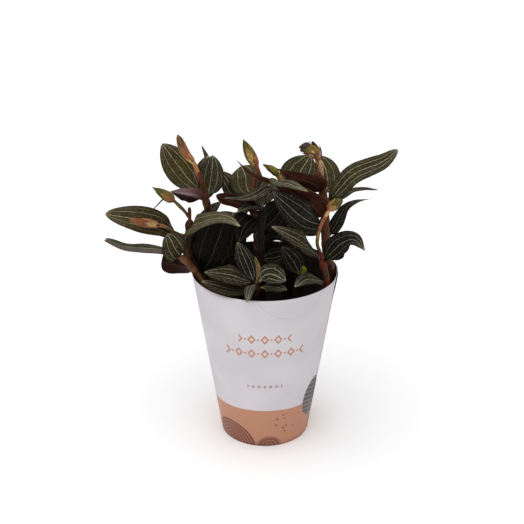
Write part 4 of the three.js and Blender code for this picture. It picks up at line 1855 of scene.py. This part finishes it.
CENTRE = Shoot(
    "centre", 4.6, 3.6,
    ((-2, -10, 72), (-3, -10, 112), (-4, -10, 160), (-5, -10, 201), (-4, -8, 221), (-3, -6, 236)),
    (
        Leaf(
            231, 22, (-0.1, 0.75, 0.6), ((-17, -12, 242), (-30, -16, 248), (-44, -21, 256)), DARK, taper=0.6,
        ),
        Leaf(234, 16, (-0.1, -0.3, 1), ((-12, -24, 246), (-25, -42, 247)), DARK, taper=0.9),
        Leaf(228, 27, (-0.5, -0.7, 0.4), ((-13, -18, 230), (-19, -22, 225), (-24, -26, 212)), NIGHT),
        Leaf(233, 5, (0, -1, 0), ((-2, -5, 243), (0, -4, 252)), DARK),
        Leaf(214, 30, (0.2, -0.8, 0.5), ((8, 13, 218), (18, 24, 227), (24, 30, 238)), NIGHT),
        Leaf(200, 28, (0.1, -0.7, 0.6), ((5, 10, 205), (15, 21, 203), (27, 27, 189)), NIGHT, heel=0.95),
    ),
    # SOOT from foot to top: near black, painted shade for the stem in the middle of the clump
    SOOT, SOOT,
)
CENTRE_RIGHT = Shoot(
    "centre_right", 3.8, 2.8,
    ((14, 14, 72), (18, 14, 112), (24, 10, 160), (26, 6, 201), (22, 4, 227), (18, 0, 249), (15, -5, 263)),
    (
        Leaf(
            254, 6, (-0.1, 0.5, -0.9), ((5, -8, 264), (-4, -9, 268), (-14, -9, 273), (-26, -6, 284)), DUSK,
            taper=1.1,
        ),
        Leaf(
            256, 13, (0.1, -0.5, 0.8), ((10, -14, 267), (12, -27, 270), (23, -38, 272), (38, -42, 267)), PALE,
        ),
        Leaf(
            248, 17, (0, -0.1, 1), ((4, -9, 258), (-6, -18, 255), (-19, -30, 255), (-36, -43, 261)), DARK,
            taper=0.9,
        ),
        Leaf(250, 36, (-0.2, -0.8, 0.5), ((26, 8, 256), (34, 18, 266), (43, 28, 277)), BRIGHT),
        Leaf(187, 22, (0, -0.5, 0.8), ((12, 13, 179), (-3, 12, 177)), DEEP),
    ),
    SOOT, WINE,
    Spike(
        2.5, 4.3, 0.45, ((13, -7, 268), (8, -9, 275), (-2, -12, 282)), ROSE, CREAM, MOSS,
        (
            Scale(0.2, 10, 2.0, 2.5, 0.3, CREAM, OLIVE),
            Scale(0.44, 13, 4.9, 2.9, 0.3, LIME, MOSS),
            Scale(0.44, 13, 0.4, 2.3, 0.3, MOSS, MOSS),
            Scale(0.46, 12, 2.3, 2.3, 0.5, LIME, OLIVE),
        ),
        crown=0.9, blunt=0.55,
    ),
)
RIGHT_TALL = Shoot(
    "right_tall", 4.4, 3.6,
    (
        (40, 4, 72), (47, 4, 112), (57, 3, 145), (63, 1, 168), (58, -3, 193), (57, -3, 214), (55, -2, 240),
        (52, -1, 262),
    ),
    (
        Leaf(
            238, 19.5, (-0.3, -0.8, 0.5),
            ((67, 2, 250), (79, 4, 264), (87, 6, 269), (96, 8, 272), (109, 10, 277), (123, 12, 288)), GREEN,
            taper=0.55, heel=0.4,
        ),
        Leaf(236, 14, (0, 0.1, 1), ((86, 24, 244), (108, 30, 242)), DARK, taper=0.6),
        Leaf(246, 27, (0.3, -0.8, 0.4), ((59, 17, 255), (57, 27, 265), (51, 34, 275)), BRONZE, heel=0.7),
        Leaf(
            251, 26, (-0.1, 0.8, 0.5), ((42, -16, 266), (27, -26, 275), (10, -34, 286)), DEEP, fold=0.25,
            taper=1.25, heel=0.5, petiole=4,
        ),
        Leaf(
            226, 33, (-0.2, 0.8, 0.5), ((41, -14, 244), (25, -20, 257), (11, -26, 267)), DEEP, fold=0.25,
            heel=0.3, petiole=5,
        ),
        Leaf(217, 30, (-0.1, -0.8, 0.6), ((37, -24, 233), (23, -33, 248), (7, -39, 265)), DEEP),
        Leaf(
            203, 14, (-0.4, -0.7, 0.5), ((68, 2, 219), (75, 8, 231), (86, 11, 237), (102, 12, 240)), DUSK,
            taper=1.9,
        ),
    ),
    HAZEL, HAZEL,
    Spike(
        2.8, 6, 0.58, ((51, -2, 270), (50, -3, 278), (47, -6, 287), (43, -11, 296), (33, -14, 300)), WINE,
        TAN, OLIVE,
        (
            Scale(0.06, 17, 4.9, 2.9, 0.6, WINE, WINE),
            Scale(0.1, 12, 0.9, 2.4, 0.7, WINE, ROSE),
            Scale(0.2, 19, 2.2, 2.7, 0.6, BLUSH, CREAM),
            Scale(0.46, 14, 2.7, 2.6, 0.15, TAN, BLUSH),
            Scale(0.56, 16, 5.2, 2.4, 0.4, OLIVE, PLUM),
            Scale(0.6, 10, 1.4, 2.0, 0.5, AMBER, MOSS),
        ),
        petals=(
            Petal(8, (0.5, -0.9, 0), ((50, -8, 284), (47.5, -12, 295), (42.4, -12, 304)), AMBER, SOOT),
            Petal(3, (0.7, -0.7, 0.2), ((51.5, -6, 284), (51.4, -6, 291), (49.6, -6, 298.3)), WINE, SOOT),
            Petal(10, (-0.2, -0.6, 0.8), ((45, -12, 295), (37, -16, 302), (30, -16, 299)), PLUM, SOOT),
            Petal(9, (-0.3, -0.9, 0.1), ((46, -14, 293), (38, -18, 297), (31, -17, 297)), OLIVE, SOOT),
            Petal(4, (0, -0.8, -0.4), ((47, -12, 290), (40, -15, 291), (34, -16, 294)), BLUSH, WINE),
            # a small cream bract that is a painted highlight on the bud
            Petal(3, (0, -1, 0), ((44.5, -17, 294), (42, -19, 297), (41, -19, 299)), CREAM, OLIVE),
        ),
        threads=(
            ((45, -12, 289), (39, -14, 291), (33, -15, 294), (31, -15, 298)),
            ((43, -13, 298), (42, -12, 301), (40, -13, 304), (37, -14, 304.9)),
            ((44, -13, 299), (43, -12, 302), (41, -12, 303.2), (38.5, -13, 303.2)),
        ),
        crown=0.9, blunt=0.6, thread=0.35,
    ),
)
RIGHT_LOW = Shoot(
    "right_low", 3.4, 2.6,
    ((36, -22, 72), (43, -25, 112), (52, -28, 145), (58, -28, 170), (54, -25, 187), (51, -22, 200)),
    (
        Leaf(
            189, 23, (0.1, -0.7, 0.7), ((62, -26, 201), (71, -30, 212), (81, -36, 218), (91, -46, 211)), DEEP,
            taper=1.1,
        ),
        Leaf(192, 22, (0, -0.5, 0.8), ((36, -47, 218), (23, -53, 229), (6, -56, 239)), DARK),
        Leaf(170, 18, (0, -0.3, 0.9), ((40, -44, 182), (27, -58, 181)), VEINED),
    ),
    UMBER, WINE,
    Spike(
        1.6, 5.6, 0.79, ((48, -32, 212), (49, -38, 227), (54, -40, 242), (59, -41, 251), (69, -44, 260)),
        MOSS, RUSSET, MOSS,
        (
            Scale(0.3, 17, 1.2, 2.6, 0.1, OLIVE, TAN),
            Scale(0.46, 16, 1.0, 2.6, 0.1, RUSSET, ROSE),
            Scale(0.7, 10, 1.6, 2.6, 0.3, CREAM, TAN),
            Scale(0.77, 14, 6.0, 2.6, 0.1, AMBER, OLIVE),
            Scale(0.78, 12, 1.4, 1.8, 0.25, TAN, OLIVE),
            Scale(0.78, 13, 3.4, 2.8, 0.2, OLIVE, MOSS),
            Scale(0.81, 11, 5.0, 1.8, 0.3, OLIVE, UMBER),
        ),
        crown=1.0, blunt=0.45,
    ),
)
YOUNG_RIGHT = Shoot(
    "young_right", 2.8, 2, ((26, -16, 72), (30, -18, 112), (34, -20, 160), (35, -22, 178)),
    (
        Leaf(170, 22, (0, -0.6, 0.8), ((28, -14, 184), (16, -10, 200)), DEEP),
        Leaf(175, 6, (0, -0.7, 0.7), ((36, -26, 184), (35, -28, 188)), SPROUT),
    ),
)
FRONT = Shoot(
    "front", 3.2, 2.4, ((-4, -36, 72), (-5, -42, 112), (-8, -46, 150), (-8, -48, 180)),
    (
        Leaf(176, 19, (-0.2, -0.8, 0.5), ((-17, -40, 197), (-25, -34, 215)), DEEP),
        Leaf(178, 5, (0.5, -0.8, 0), ((-6, -44, 192), (-9, -40, 203)), STRAW),
        Leaf(178, 24, (0, -0.3, 0.9), ((-32, -54, 191), (-55, -46, 190)), DARK),
        Leaf(170, 20, (0, -0.3, 0.9), ((-36, -56, 179), (-58, -46, 181)), DARK),
        Leaf(178, 10, (0, 0, 1), ((-13, -64, 182), (-16, -78, 175)), DARK),
        Leaf(177, 23, (0, -0.6, 0.8), ((3, -48, 189), (19, -56, 186)), VEINED),
        Leaf(174, 15, (0, -0.3, 0.9), ((8, -54, 179), (20, -58, 178)), SHADED),
    ),
    SOOT, UMBER,
)
BACK_LEFT = Shoot(
    "back_left", 4, 3, ((-18, 28, 72), (-22, 33, 112), (-30, 38, 160), (-36, 42, 194)),
    (
        Leaf(186, 30, (-0.2, 0.3, 0.9), ((-52, 58, 198), (-68, 76, 187)), GREEN),
        Leaf(191, 30, (0, 0.3, 0.9), ((-32, 64, 204), (-28, 92, 190)), DARK),
        Leaf(180, 26, (0.3, 0.2, 0.9), ((-14, 56, 196), (0, 72, 192)), BRONZE),
    ),
)
BACK_RIGHT = Shoot(
    "back_right", 4, 3, ((20, 32, 72), (22, 36, 112), (28, 40, 160), (32, 42, 204)),
    (
        Leaf(198, 32, (0.2, 0.3, 0.9), ((46, 56, 212), (60, 76, 204)), DARK),
        Leaf(201, 32, (0, 0.3, 0.9), ((30, 66, 217), (26, 96, 202)), GREEN),
        Leaf(188, 26, (-0.3, 0.2, 0.9), ((16, 60, 202), (2, 84, 196)), BRONZE),
    ),
)
SHOOTS = (
    TALL_LEFT, LOW_LEFT, LEFT_SPRAY, FAR_LEFT, CENTRE_BACK, CENTRE, CENTRE_RIGHT,
    RIGHT_TALL, RIGHT_LOW, YOUNG_RIGHT, FRONT, BACK_LEFT, BACK_RIGHT,
)


def main() -> None:
    """Builds the studio and the object, piece by piece."""
    logging.basicConfig(level=logging.INFO, format="%(name)s %(message)s")
    Studio().build()
    sleeve = Sleeve()
    sleeve.build()
    GrowPot().build(sleeve)
    PottingMix().build()
    finishes = PlantFinishes(*(kind().material() for kind in (LeafFace, LeafBack, StemFlesh, BudScales)))
    for number, shoot in enumerate(SHOOTS, 1):
        shoot.build(finishes, number)


if __name__ == "__main__":
    main()
